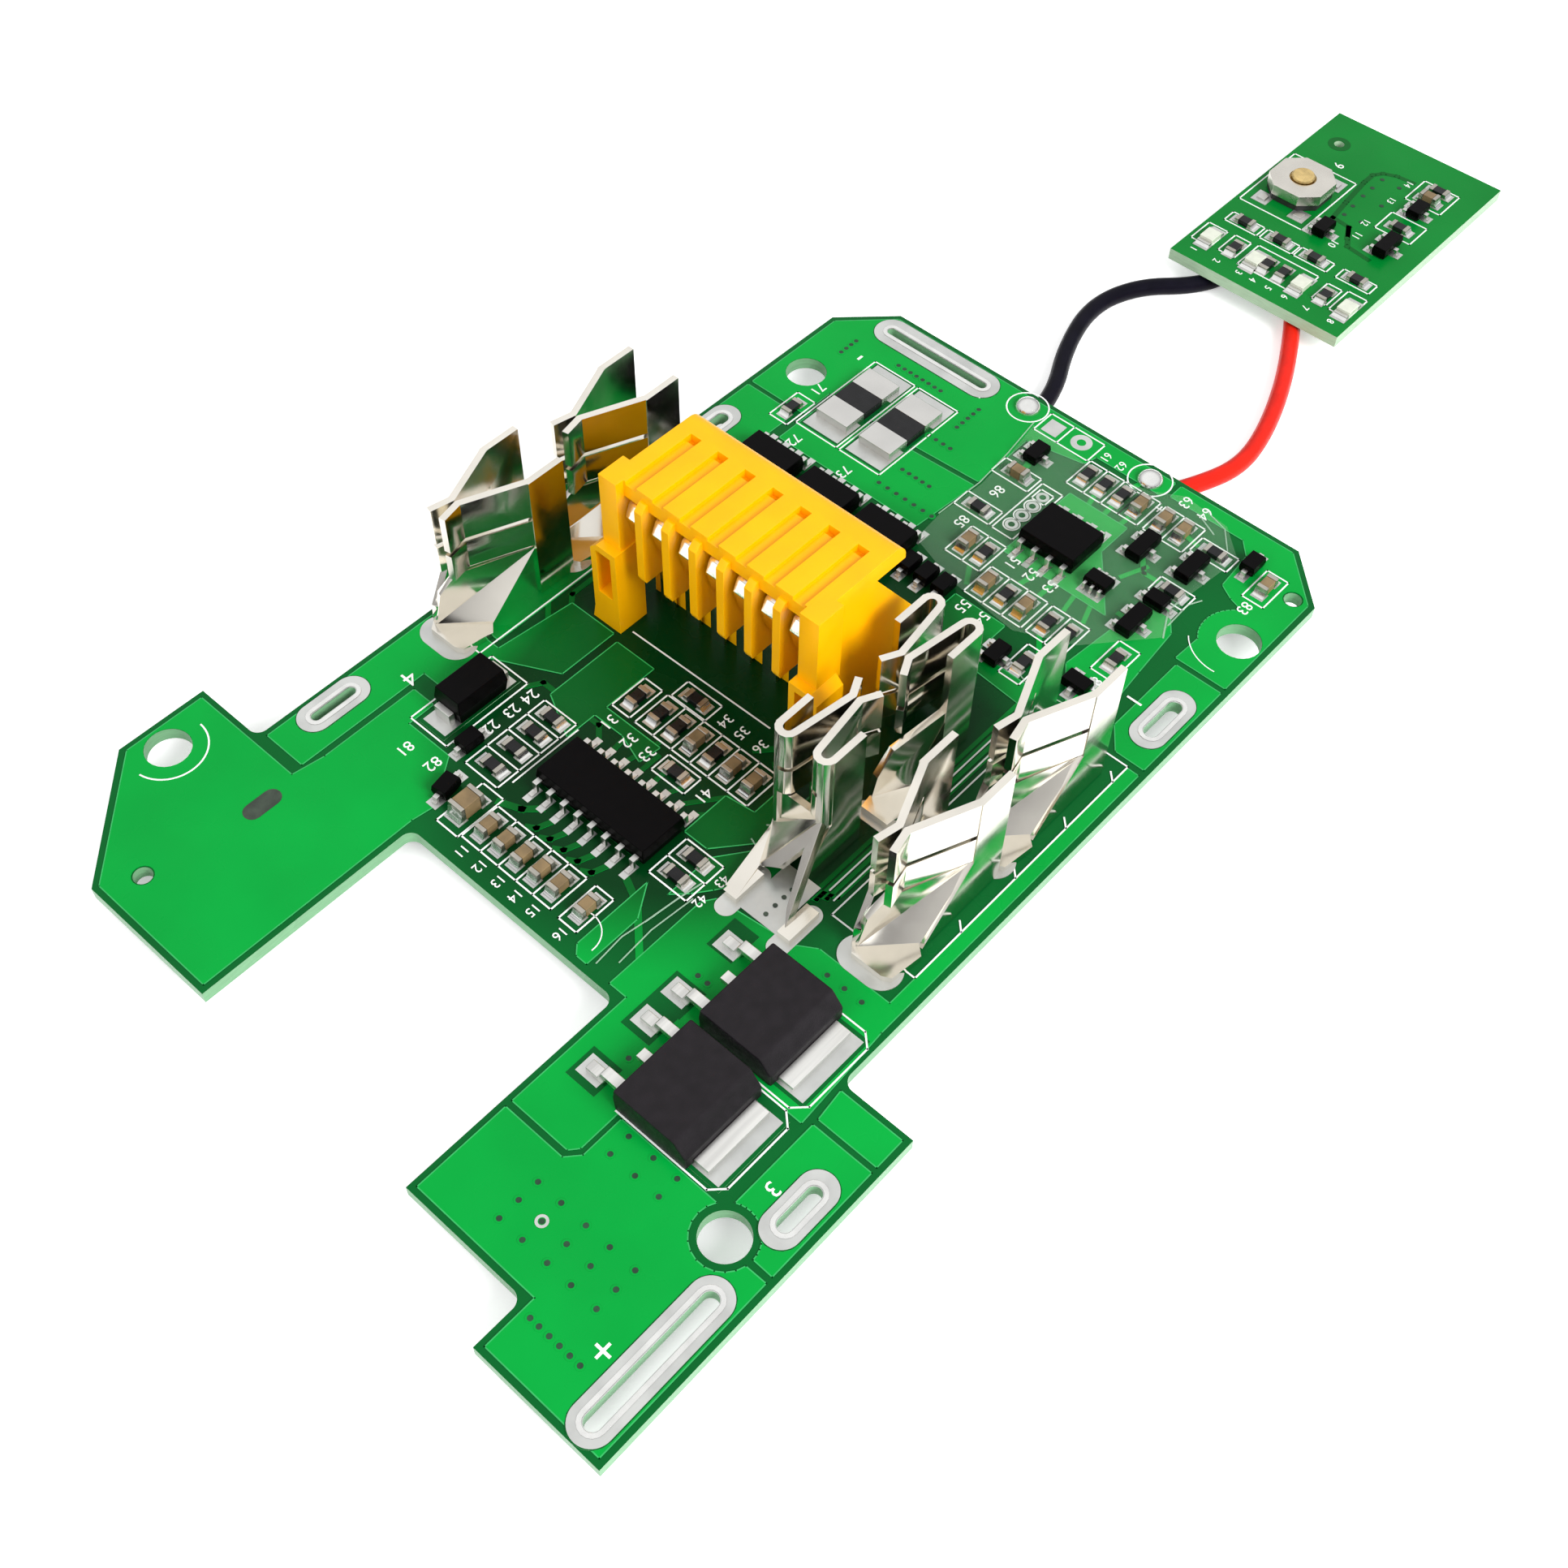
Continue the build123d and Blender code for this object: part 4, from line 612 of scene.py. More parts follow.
# Clear varnish: narrow ridges with their width and bends, whose pale colour also paints the highlights along
# the varnish edges, then thin films by their outlines
VARNISH_RIDGES = [
    (0.12, [(30, 21.3), (28.2, 21.6), (25.6, 21.9)]), (0.1, [(28.8, 20.9), (25.4, 21.2), (22.4, 21)]),
    (0.1, [(26.3, 21.8), (23.8, 22.2), (21.4, 22)]), (0.14, [(36.8, 20.6), (36.2, 21.3)]),
    (0.12, [(34.9, 20), (34.5, 20.7), (34.7, 21.3)]), (0.14, [(66.9, 11.8), (69.2, 13), (71.2, 12.9)]),
    (0.12, [(68.1, 12.2), (70.6, 12.3), (71.6, 11.8)]),
    (0.1, [(77.9, 31.8), (74, 31.2), (70.1, 30.8), (65.5, 31)]),
    (0.1, [(76.9, 13.2), (78.6, 14.6), (79.3, 16.9)]), (0.12, [(77.6, 14.9), (78.4, 16.6)]),
    (0.1, [(57.4, 13.4), (57, 16), (57.9, 18.6)]),
]
VARNISH_FILMS = [
    [(77.7, 31.6), (74, 31), (70, 30.6), (65.4, 30.9), (62.4, 30.6), (60.9, 26), (60.2, 20),
     (62.2, 15.8), (66.8, 11.9), (71, 12.8), (76.7, 12.2), (78.9, 14.6), (79.4, 18.6), (78, 21),
     (77, 25.8)],
]
# On the indicator board: the gap round its copper, its small through-holes and its ring-shaped gap
LAMP_TRENCHES = [
    [(12.9, 8.6), (15.4, 8.9), (18.9, 9.25), (20.3, 9.25), (21.1, 8.7), (21.6, 7.6), (21.75, 6.1)],
    [(12.9, 8.6), (12.7, 6.9), (11.3, 6.2)], [(12.7, 6.9), (10.4, 5.6), (10.1, 3.4)],
]
LAMP_VIAS = [
    (20.3, 8.3), (18.7, 8.3), (17.2, 8.3), (15.4, 8.2), (13.9, 8.1), (14, 6.5), (17.1, 6.4), (20.3, 6.6),
]
LAMP_RING = (22.1, 13.8)
# Holes in the board, then their openings in the copper: places, radius, the room they need, steps
SCREW_HOLES = [(13.8, 4), (13.8, 54.75), (70.3, 7.7), (70.3, 48.4)]
PEG_HOLES = [(6.5, 47.65), (76.2, 7.1)]
ROUND_OPENINGS = [(SCREW_HOLES, 1.62, 1.7, 24), (PEG_HOLES, 0.75, 0.85, 16)]
# Tab slots: place, size of the pad, size of the slot, whether they run along v
PAD_SLOTS = [
    (6.05, 2.05, (11.9, 2.8), (10.1, 1.1), False), (17.85, 2, (5.7, 2.6), (3.5, 1), False),
    (23.65, 49.6, (5.7, 2.5), (3.7, 0.75), False), (60.9, 7.55, (5.9, 2.65), (3.8, 1.05), False),
    (60.6, 49.6, (5.8, 2.5), (3.7, 1), False), (78.5, 41.95, (12, 2.95), (9.9, 0.7), True),
]
# Small plated holes under the mask, then a bare one and the holes in a foot pad
VIAS = [(u, v) for u in (6, 7.5, 9) for v in (14.1, 12.2, 10.2, 8.3, 6.3)]
VIAS += [(u, v) for u in (13, 14.5) for v in (12.3, 10.3, 8.4)]
VIAS += [(3.2, v) for v in (8.6, 7.9, 7.1, 6.3, 5.5, 4.7)]
VIAS += [(18.1, 15.9), (25, 16.8), (25, 16), (30.4, 11), (30.4, 9.6), (30.4, 8.2)]
VIAS += [(73.9 + 0.6 * i, 47.9) for i in range(4)] + [(73.5 + 0.67 * i, 35.8) for i in range(5)]
VIAS += [(75.8, 39.3 + 0.61 * i) for i in range(8)] + [(71.35, 34.7 + 0.7 * i) for i in range(4)]
VIAS += [(67.15, 33.3 + 0.65 * i) for i in range(5)] + [(64.9, 31.2 + 0.85 * i) for i in range(7)]
OPEN_VIA = (7.5, 12.2)
FOOT_HOLES = [(u, 16.75) for u in (31.1, 31.97, 32.8, 33.55)]
# The row of four small holes beside the controller chip
ROW_HOLES = [(68.3 + 1.25 * i, 26.4) for i in range(4)]
# Printed boxes: low u, low v, high u, high v, then where rungs cross them, and whether the rungs run along u
PRINT_BOXES = [
    (22.2, 26.9, 25.4, 35.2, (28.55, 30.1, 31.75, 33.4), True), (22.1, 24.5, 25.4, 26.1, (), True),
    (21.95, 35.3, 26, 37.3, (), True), (26.35, 36.3, 33.6, 39.4, (28.3, 30.2, 31.95), False),
    (36.4, 23.3, 39.6, 33.6, (25.1, 26.85, 28.5, 30.2, 31.9), True), (36.4, 34.1, 39.6, 35.8, (), True),
    (39.7, 30.2, 41.4, 33.4, (), True), (34.3, 27, 36, 30, (), True),
    (28.4, 21.1, 31.9, 24.4, (30.15,), False), (60.8, 16, 64, 19.3, (17.65,), True),
    (60.8, 19.7, 64, 24.85, (21.45, 23.15), True), (63, 25.2, 66.2, 28.4, (26.8,), True),
    (74.5, 21.3, 77.6, 26.1, (22.9, 24.5), True), (74.5, 19.6, 77.6, 21.3, (), True),
    (74.5, 15.6, 77.6, 19.1, (17.45,), True), (74, 8.2, 77.3, 10, (), True),
    (61.2, 12.1, 64.6, 13.9, (), True), (64.8, 45.5, 68.1, 47.3, (), True),
    (65.5, 41.1, 74.9, 45.2, (), True), (65.5, 36.8, 74.9, 40.8, (), True),
    (26.4, 41.3, 33.8, 44.9, (), True), (67.1, 27.6, 68.8, 30.9, (), True),
    (71.7, 27.6, 73.5, 31, (), True), (56.6, 16.6, 60, 18.4, (), True),
    (67.1, 25.4, 73.2, 27.3, (), True), (77.4, 26.3, 79.7, 31.4, (29.2,), True),
    (69.9, 12.3, 71.6, 15.3, (), True), (75.1, 12.1, 76.8, 15.3, (), True),
    (33.9, 6.9, 56, 13.7, (), True), (33.4, 45.7, 54.4, 50.6, (), True),
    (71.45, 25.8, 72.65, 27, (), True),
]
# Printed lines by their bends
PRINT_LINES = [
    [(15.15, 14), (15.15, 6.7), (16, 5.85), (21.1, 5.85), (21.9, 6.7), (21.9, 14)],
    [(22.15, 14), (22.15, 6.7), (23, 5.85), (28.2, 5.85), (29, 6.7), (29, 14)],
    [(42.2, 26.6), (42, 39.3)], [(35.2, 15), (56.5, 15)], [(34.8, 14.3), (56.5, 14.3)],
    [(27.4, 35.9), (33.3, 35.9)], [(78.1, 30.6), (78.9, 29.9)],
    *[[(u, 6.9), (u + 0.6, 7.5)] for u in (38.4, 43.9, 49.2, 54.3)],
]
# Printed rings: place, outer radius; then printed arcs: place, radii, steps, start and turn in degrees
PRINT_RINGS = [(79, 33.2, 1.7), (79, 21.6, 1.75)]
PRINT_ARCS = [
    (13.8, 54.75, 2.62, 2.74, 24, 190, 170), (70.3, 7.7, 3.5, 3.58, 24, 125, 60),
    (22, 24.6, 1.7, 1.78, 16, 265, 130),
]
# Printed numbers and signs: text, place, height
PRINT_NUMBERS = [
    ("+", 4.6, 4.5, 1.9), ("3", 17.7, 4, 1.2), ("4", 28.6, 47.6, 1.5), ("-", 74.4, 46.2, 1.8),
    ("1", 60.9, 10, 1.4), ("11", 21.4, 34.3, 0.8), ("12", 21.4, 32.6, 0.8), ("13", 21.4, 30.9, 0.8),
    ("14", 21.4, 29.3, 0.8), ("15", 21.4, 27.7, 0.8), ("16", 21.35, 25.2, 0.8), ("21", 27.3, 40.9, 1),
    ("22", 29.5, 40.4, 1), ("23", 31.4, 40.4, 1), ("24", 33.1, 40.4, 1), ("31", 35.2, 34.9, 1),
    ("32", 35, 32.8, 1), ("33", 35, 31.1, 1), ("34", 40.6, 29.2, 0.9), ("35", 40.6, 27.7, 0.9),
    ("36", 40.6, 26, 0.9), ("37", 40.6, 24.2, 0.9), ("41", 35.1, 26, 1), ("42", 29, 20.5, 0.8),
    ("43", 31, 20.5, 0.8), ("51", 65.3, 24, 1), ("52", 65.3, 22.3, 1), ("53", 65.3, 20.6, 1),
    ("54", 59.6, 22.3, 1), ("55", 59.6, 24, 1), ("61", 78.7, 25.5, 0.8), ("62", 78.7, 24.1, 0.8),
    ("63", 78.9, 18.3, 1), ("64", 78.9, 16.6, 1), ("71", 69.4, 46.4, 1), ("72", 63.9, 44, 1),
    ("73", 63.9, 39, 1), ("-", 77.4, 36.5, 1.2), ("+", 77, 19.4, 1.2), ("81", 24.4, 43.2, 1),
    ("82", 24.8, 40.9, 1), ("83", 73.1, 9.2, 1), ("84", 60.2, 12.9, 1), ("85", 66, 29.3, 1),
    ("86", 70.2, 29.3, 1),
]
# Printed boxes and numbers on the indicator board
LAMP_PRINT_BOXES = [
    (9.6, 9.6, 18.2, 15.9), (2.4, 14, 5.1, 15.9), (2.2, 5.2, 5.4, 11.1), (2.5, 0.6, 5.5, 2.4),
    (2.6, 11.7, 5.2, 13.3), (2.7, 2.8, 5.2, 4.2), (14.2, 1.9, 17, 5.3), (19.4, 2.1, 22.7, 5.5),
    *[(6.3, v - 1.6, 7.7, v + 1.6) for v in (2.6, 6.7, 10.1, 13.6)],
]
LAMP_PRINT_NUMBERS = [
    *[(str(i + 1), 1.3, v, 0.72) for i, v in enumerate((14.9, 12.6, 10.4, 9, 7.5, 5.9, 3.9, 1.5))],
    ("9", 19.4, 12.2, 1.1), ("10", 9.9, 6.7, 0.8), ("11", 12.2, 5.8, 0.8), ("12", 14.2, 6.2, 0.7),
    ("13", 18.3, 6.2, 0.7), ("14", 21.3, 6.3, 0.7),
]
# Large solder pads, most of them under the power parts: low u, low v, high u, high v
LARGE_PADS = [
    *[(u - 2.75, 6.3, u + 2.75, 8.4) for u in (18.45, 25.65)],
    *[(u - 0.75, 15.9, u + 0.75, 17.7) for u in (16.165, 20.735, 23.365, 27.935)],
    *[(a, v - 1.75, b, v + 1.75) for v in (38.75, 43.05) for a, b in ((65.9, 68.6), (72.1, 74.7))],
    (26.9, 42, 29, 44.2), (31.8, 42, 33.4, 44.2), (77.75, 29.6, 79.25, 31),
]
# Solder rings: place, radii, steps
PAD_RINGS = [*[(u, v, 0.26, 0.5, 20) for u, v in ROW_HOLES], (78.7, 27.8, 0.36, 0.85, 28)]
# Chip ends with the bodies between them, and the leads of the chips that have two rows
CHIP_ENDS = {
    "capacitor_ends": "capacitor_bodies", "resistor_ends": "resistor_bodies",
    "indicator_resistor_ends": "indicator_resistor_bodies",
    "indicator_capacitor_ends": "indicator_capacitor_body", "indicator_lamp_ends": "indicator_lamp_bodies",
}
ROW_LEADS = ("monitor_chip_leads", "controller_chip_leads", "switching_transistor_leads")
# Chips and small parts: finish, rounding in millimetres, nodes
CHIP_FINISHES = [
    ("grey_epoxy", 0.14, ("power_transistor_1_body", "power_transistor_2_body")),
    ("black_epoxy", 0.07, ("monitor_chip_body", "controller_chip_body")),
    ("black_epoxy", 0.07, ("switching_transistor_bodies", "larger_diode_body")),
    ("black_epoxy", 0.05, ("small_semiconductor_bodies", "indicator_transistor_bodies")),
    ("resistor_top", 0.06, ("shunt_resistor_bodies",)),
    ("resistor_top", 0.03, ("resistor_bodies", "indicator_resistor_bodies")),
    ("brown_ceramic", 0.05, ("capacitor_bodies", "indicator_capacitor_body")),
    ("lamp_body", 0.05, ("indicator_lamp_bodies",)),
    ("tab_metal", 0.06, ("power_transistor_1_metal", "power_transistor_2_metal")),
    ("tinned_lead", 0.08, ("shunt_resistor_terminals",)),
    ("tinned_lead", 0.03, (*ROW_LEADS, "small_semiconductor_leads", "indicator_transistor_leads")),
    ("tinned_lead", 0.05, ("larger_diode_leads",)),
    ("chip_end", 0.04, ("resistor_ends",)),
    ("chip_end", 0.06, ("capacitor_ends",)),
    ("chip_end", 0.04, ("indicator_resistor_ends",)),
    ("chip_end", 0.06, ("indicator_capacitor_ends",)),
    ("tinned_lead", 0.03, ("indicator_lamp_ends",)),
    ("tinned_lead", 0.04, ("switch_leads",)),
]
# Wires in millimetres: diameter, height of the middle line, then piece, node, finish, length in metres, route
WIRE_DIAMETER = 1.4
WIRE_Z = -1.9
WIRES = [
    ("black_wire_sleeve", "black_wire", "black_sleeve", 0.0313, [
        (79.8935, 33.2851), (83.2, 33.6), (88.6, 36.5), (94.2, 38), (98.8, 36.6), (102, 33.3),
        (105.2, 31.9), (108.7, 31.9),
    ]),
    ("red_wire_sleeve", "red_wire", "red_sleeve", 0.032, [
        (79.7962, 21.1809), (82.8, 19.6), (86.8, 18.3), (91.2, 19), (96.6, 20.9), (101.8, 23.5),
        (105.6, 25.8), (109.4674, 27.0165),
    ]),
]
# Heights above the board's upper face, in millimetres
COPPER_EDGE_Z = 0.03
RIDGE_Z = 0.05
FILM_Z = 0.066
INK_Z = 0.045
PRINT_Z = 0.03
NUMBER_Z = 0.035
# Thicknesses in millimetres
CLEARANCE_HEIGHT = 0.052
PRINT_HEIGHT = 0.03
PAD_HEIGHT = 0.06
LARGE_PAD_HEIGHT = 0.065
RING_HEIGHT = 0.05
RIM_HEIGHT = 0.04
# How much larger than a tab slot the mask's opening and the two edges of the bright rim are, and how much
# larger than its pad the dark border is
SLOT_CLEARANCE = 0.5
RIM_GROWTH = (0.1, 0.75)
BORDER_GROWTH = 0.16
# How much of the copper's height a track has
TRACK_SHARE = 0.96
# Radii in millimetres of the small holes and of the printed rings round the row of holes
VIA_RADIUS = 0.19
HOLE_RING = 0.56
# The oval ink mark: place and size
INK_MARK = (15.1, 46.5, (2.9, 1.35))
# Pads in millimetres: how far a chip's pad runs under it, beside it and past its solder, then how far a pad
# of a lead runs in from its tip, past it and beside it
CHIP_PAD = (0.05, 0.07, 0.1)
LEAD_PAD = (0.9, 0.45, 0.06)
# How deep an end cap's solder reaches into it and how thick its thin end is
SOLDER_TUCK = 0.01
SOLDER_END = 0.03
# How far up an end cap solder climbs, and its slope: shares of its reach and of that height
SOLDER_CLIMB = 0.72
SOLDER_SLOPE = ((0.3, 0.45), (0.65, 0.2))
# The camera of the photo: focal length and width in pixels, then sensor in millimetres and place in metres
PHOTO_FOCAL = 2352.34
PHOTO_WIDTH = 1932
SENSOR_WIDTH = 36
CAMERA_RANGE = (0.01, 10)
CAMERA_PLACE = (-0.03069669, -0.05554064, 0.10232697)
CAMERA_TURN = (0.86958409, 0.28217153, -0.13317407, -0.38271060)
# Lamps in metres and watts: name, place, width, power; then what they point at
LAMPS = [("key", (0.02, -0.38, 0.26), 0.26, 2.3), ("fill", (-0.34, 0.02, 0.28), 0.30, 0.55)]
LAMP_AIM = (0.03, 0, 0)
# The sky that shiny surfaces mirror: its colour at the horizon and the height where it turns white
HORIZON_COLOR = (0.26, 0.26, 0.27, 1)
WHITE_FROM = 0.6
# How strongly the sky lights the object, and how bright it is where it is seen
SKY_LIGHT, SKY_SEEN = 0.66, 1.0
# The floor, and how much it glows where it is seen, so that it stays white and still shows the board's shadow
FLOOR_HALF_SIZE = 3.0
FLOOR_COLOR = (0.93, 0.93, 0.93)
FLOOR_GLOW = 0.42


class BOARD_OT_finishes(bpy.types.Operator):
    """Makes the finishes of every piece"""

    bl_idname = "board.finishes"
    bl_label = "Finishes"

    def execute(self, context):
        make_finishes()
        return {"FINISHED"}


def seen_rays(tree):
    """A node of value 1 where the camera, a shiny surface or glass looks, and 0 for light on the object."""
    rays = tree.add("LightPath")
    direct = tree.add("Math")
    every = tree.add("Math")
    tree.join(rays, "Is Camera Ray", direct, 0)
    tree.join(rays, "Is Glossy Ray", direct, 1)
    tree.join(direct, "Value", every, 0)
    tree.join(rays, "Is Transmission Ray", every, 1)
    return every


def make_floor():
    """A wide level floor that stays white where it is seen."""
    bm = bmesh.new()
    bmesh.ops.create_grid(bm, x_segments=1, y_segments=1, size=FLOOR_HALF_SIZE)
    bmesh.ops.translate(bm, vec=(0, 0, FLOOR), verts=bm.verts)
    mesh = bpy.data.meshes.new("floor")
    bm.to_mesh(mesh)
    bm.free()
    floor = add_object("floor", mesh)
    tree = finish("floor_paper", {"Roughness": 0.9, "Specular IOR Level": 0.1, "Emission Color": WHITE})
    vary_color(tree, FLOOR_COLOR, spread=0.01, scale=0.02)
    glow = tree.add("Math", {1: FLOOR_GLOW}, operation="MULTIPLY")
    tree.join(seen_rays(tree), "Value", glow, 0)
    tree.join(glow, "Value", tree.end, "Emission Strength")
    mesh.materials.append(MATERIALS["floor_paper"])


def make_camera(scene):
    """The camera that took the photo."""
    camera = add_object("camera", bpy.data.cameras.new("camera"))
    camera.data.sensor_width = SENSOR_WIDTH
    camera.data.lens = PHOTO_FOCAL / PHOTO_WIDTH * SENSOR_WIDTH
    camera.data.clip_start, camera.data.clip_end = CAMERA_RANGE
    camera.rotation_mode = "QUATERNION"
    camera.location = CAMERA_PLACE
    camera.rotation_quaternion = CAMERA_TURN
    scene.camera = camera


def make_sky(scene):
    """A white sky, which shiny surfaces see darker towards the horizon."""
    world = bpy.data.worlds.new("studio")
    scene.world = world
    tree = Tree(world, "Background")
    coords = tree.add("TexCoord")
    split = tree.add("SeparateXYZ")
    ramp = add_ramp(tree, [HORIZON_COLOR, WHITE], (0, WHITE_FROM))
    color = tree.add("Mix", {"A": WHITE}, data_type="RGBA")
    rays = tree.add("LightPath")
    strength = tree.add("MapRange", {"To Min": SKY_LIGHT, "To Max": SKY_SEEN})
    tree.join(seen_rays(tree), "Value", strength, "Value")
    tree.join(strength, "Result", tree.end, "Strength")
    tree.join(coords, "Generated", split, "Vector")
    tree.join(split, "Z", ramp, "Fac")
    tree.join(rays, "Is Glossy Ray", color, "Factor")
    tree.join(ramp, "Color", color, "B")
    tree.join(color, "Result", tree.end, "Color")


def make_lamps():
    """Round lamps that light the board and aren't mirrored in it."""
    for name, place, width, power in LAMPS:
        lamp = bpy.data.lights.new(name, "AREA")
        lamp.shape = "DISK"
        lamp.size = width
        lamp.energy = power
        holder = add_object(name, lamp)
        holder.visible_glossy = False
        holder.location = place
        holder.rotation_mode = "QUATERNION"
        holder.rotation_quaternion = (Vector(LAMP_AIM) - Vector(place)).to_track_quat("-Z", "Y")


class BOARD_OT_stage(bpy.types.Operator):
    """Makes the floor, the lamps, the sky and the camera"""

    bl_idname = "board.stage"
    bl_label = "Stage"

    def execute(self, context):
        make_floor()
        make_camera(context.scene)
        make_sky(context.scene)
        make_lamps()
        context.scene.view_settings.view_transform = "Standard"
        return {"FINISHED"}


class BOARD_OT_wires(bpy.types.Operator):
    """Makes the two wires between the boards"""

    bl_idname = "board.wires"
    bl_label = "Wires"

    def execute(self, context):
        for name, node, material, length, points in WIRES:
            curve = bpy.data.curves.new(name, "CURVE")
            curve.dimensions = "3D"
            curve.bevel_depth = WIRE_DIAMETER / 2 * MM
            curve.bevel_resolution = 5
            curve.resolution_u = 16
            curve.use_fill_caps = True
            spline = curve.splines.new("NURBS")
            spline.points.add(len(points) - 1)
            for point, place in zip(spline.points, places(points, WIRE_Z)):
                point.co = (*place, 1)
            spline.order_u = 3
            spline.use_endpoint_u = True
            wire = add_object(name, curve)
            curve.materials.append(MATERIALS[material])
            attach(wire, "boards")
            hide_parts(node)
        return {"FINISHED"}


def copper_openings(area):
    """The openings in a copper area round the screw holes, the peg holes and the tab slots."""
    openings = []
    for holes, radius, room, steps in ROUND_OPENINGS:
        openings += [round_loop(spot(u, v), radius * MM, steps) for u, v in holes if inside(area, u, v, room)]
    for u, v, _, slot, along_v in PAD_SLOTS:
        if inside(area, u, v, 0.0):
            openings.append(slot_loop(u, v, slot, SLOT_CLEARANCE, along_v))
    return openings


def make_copper_areas(height):
    bm = bmesh.new()
    for area in COPPER_AREAS:
        fill_outline(bm, places(area), copper_openings(area), TOP, height)
    keep_outward(bm, "copper_under_mask", "mask_on_copper")
    # Thin lighter lines on each copper outline paint the highlight on the raised copper edges
    bm = bmesh.new()
    for area in COPPER_AREAS:
        add_path(bm, places(area, COPPER_EDGE_Z), width=0.08 * MM, height=0.02 * MM, closed=True)
    keep(bm, "copper_outline_highlights", "copper_edge_highlight")


def make_pad_borders():
    """The dark gaps round the large pads, and the bright rims of the tab slots."""
    bm = bmesh.new()
    for u, v, pad, slot, along_v in PAD_SLOTS:
        border = slot_loop(u, v, pad, BORDER_GROWTH, along_v)
        opening = slot_loop(u, v, slot, SLOT_CLEARANCE, along_v)
        fill_outline(bm, border, [opening], TOP, CLEARANCE_HEIGHT * MM)
    for u0, v0, u1, v1 in PAD_CLEARANCES:
        add_box(bm, spot(u0, v0), spot(u1, v1, CLEARANCE_HEIGHT))
    keep_outward(bm, "pad_clearances", "mask_on_laminate")
    bm = bmesh.new()
    pad_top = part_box("battery_tab_pads")[1].z
    for u, v, _, slot, along_v in PAD_SLOTS:
        inner, outer = (slot_loop(u, v, slot, grow, along_v) for grow in RIM_GROWTH)
        fill_outline(bm, outer, [inner], pad_top, RIM_HEIGHT * MM)
    rims = keep_outward(bm, "tab_slot_rims", "solder", smooth_angle=60)
    round_edges(rims, width=0.03 * MM, segments=2)


def make_varnish():
    bm = bmesh.new()
    for width, bends in VARNISH_RIDGES:
        add_path(bm, places(bends, RIDGE_Z), width * MM, height=0.05 * MM)
    ridges = keep(bm, "varnish_ridges", "varnish_and_highlight", smooth_angle=80)
    round_edges(ridges, width=0.04 * MM, segments=3)
    bm = bmesh.new()
    for film in VARNISH_FILMS:
        fill_outline(bm, places(film), [], TOP + FILM_Z * MM, height=0.02 * MM)
    keep_outward(bm, "varnish_films", "varnish_film")


def make_indicator_marks():
    """The gap round the indicator board's copper with round bends, its ring and its small holes."""
    bm = bmesh.new()
    for trench in LAMP_TRENCHES:
        bends = places(trench, on=lamp_spot)
        add_path(bm, bends, width=0.45 * MM, height=0.012 * MM)
        for bend in bends:
            add_disc(bm, bend, radius=0.225 * MM, height=0.0122 * MM, segments=16)
    add_ring(bm, lamp_spot(*LAMP_RING), inner=0.47 * MM, outer=1.0 * MM, height=0.014 * MM, segments=28)
    keep_outward(bm, "indicator_trenches", "indicator_gap")
    # Dark discs paint the shade inside the small holes
    vias = places(LAMP_VIAS, on=lamp_spot)
    keep_discs("indicator_vias", "via_hole_shade", vias, radius=0.2, height=0.02, segments=14)


def make_tracks_and_holes(height):
    bm = bmesh.new()
    for width, bends in TRACKS:
        add_path(bm, places(bends), width * MM, height * TRACK_SHARE)
    keep(bm, "copper_tracks", "mask_on_copper")
    # Dark discs paint the shade inside the small holes
    vias = places(VIAS, z=0.045)
    keep_discs("via_holes", "via_hole_shade", vias, VIA_RADIUS, height=0.012, segments=12)
    bm = bmesh.new()
    for via in places(VIAS, z=0.02):
        add_ring(bm, via, VIA_RADIUS * MM, outer=0.31 * MM, height=0.045 * MM, segments=14)
    keep(bm, "via_rims", "mask_on_copper")
    bm = bmesh.new()
    add_ring(bm, spot(*OPEN_VIA, z=0.05), inner=0.24 * MM, outer=0.42 * MM, height=0.03 * MM, segments=18)
    keep_outward(bm, "open_via_rim", "tinned_pad")
    # Dark discs in the ink finish paint the shade inside the holes of a foot pad
    keep_discs("foot_pad_holes", "ink_and_hole_shade", places(FOOT_HOLES, z=0.1), radius=0.17, height=0.012, segments=14)


class BOARD_OT_boards(bpy.types.Operator):
    """Finishes both boards and adds what lies on their faces: copper, clearances, varnish, holes and ink"""

    bl_idname = "board.boards"
    bl_label = "Boards and copper"

    def execute(self, context):
        copper_height = context.scene.board_settings.copper_height
        paint("main_board", "mask_on_laminate")
        paint("indicator_board", "indicator_mask")
        make_copper_areas(copper_height)
        make_pad_borders()
        make_varnish()
        make_indicator_marks()
        make_tracks_and_holes(copper_height)
        bm = bmesh.new()
        fill_outline(bm, slot_loop(*INK_MARK), [], TOP + INK_Z * MM, height=0.015 * MM)
        keep(bm, "ink_mark", "ink_and_hole_shade")
        return {"FINISHED"}


def box_corners(u0, v0, u1, v1):
    return [(u0, v0), (u1, v0), (u1, v1), (u0, v1)]


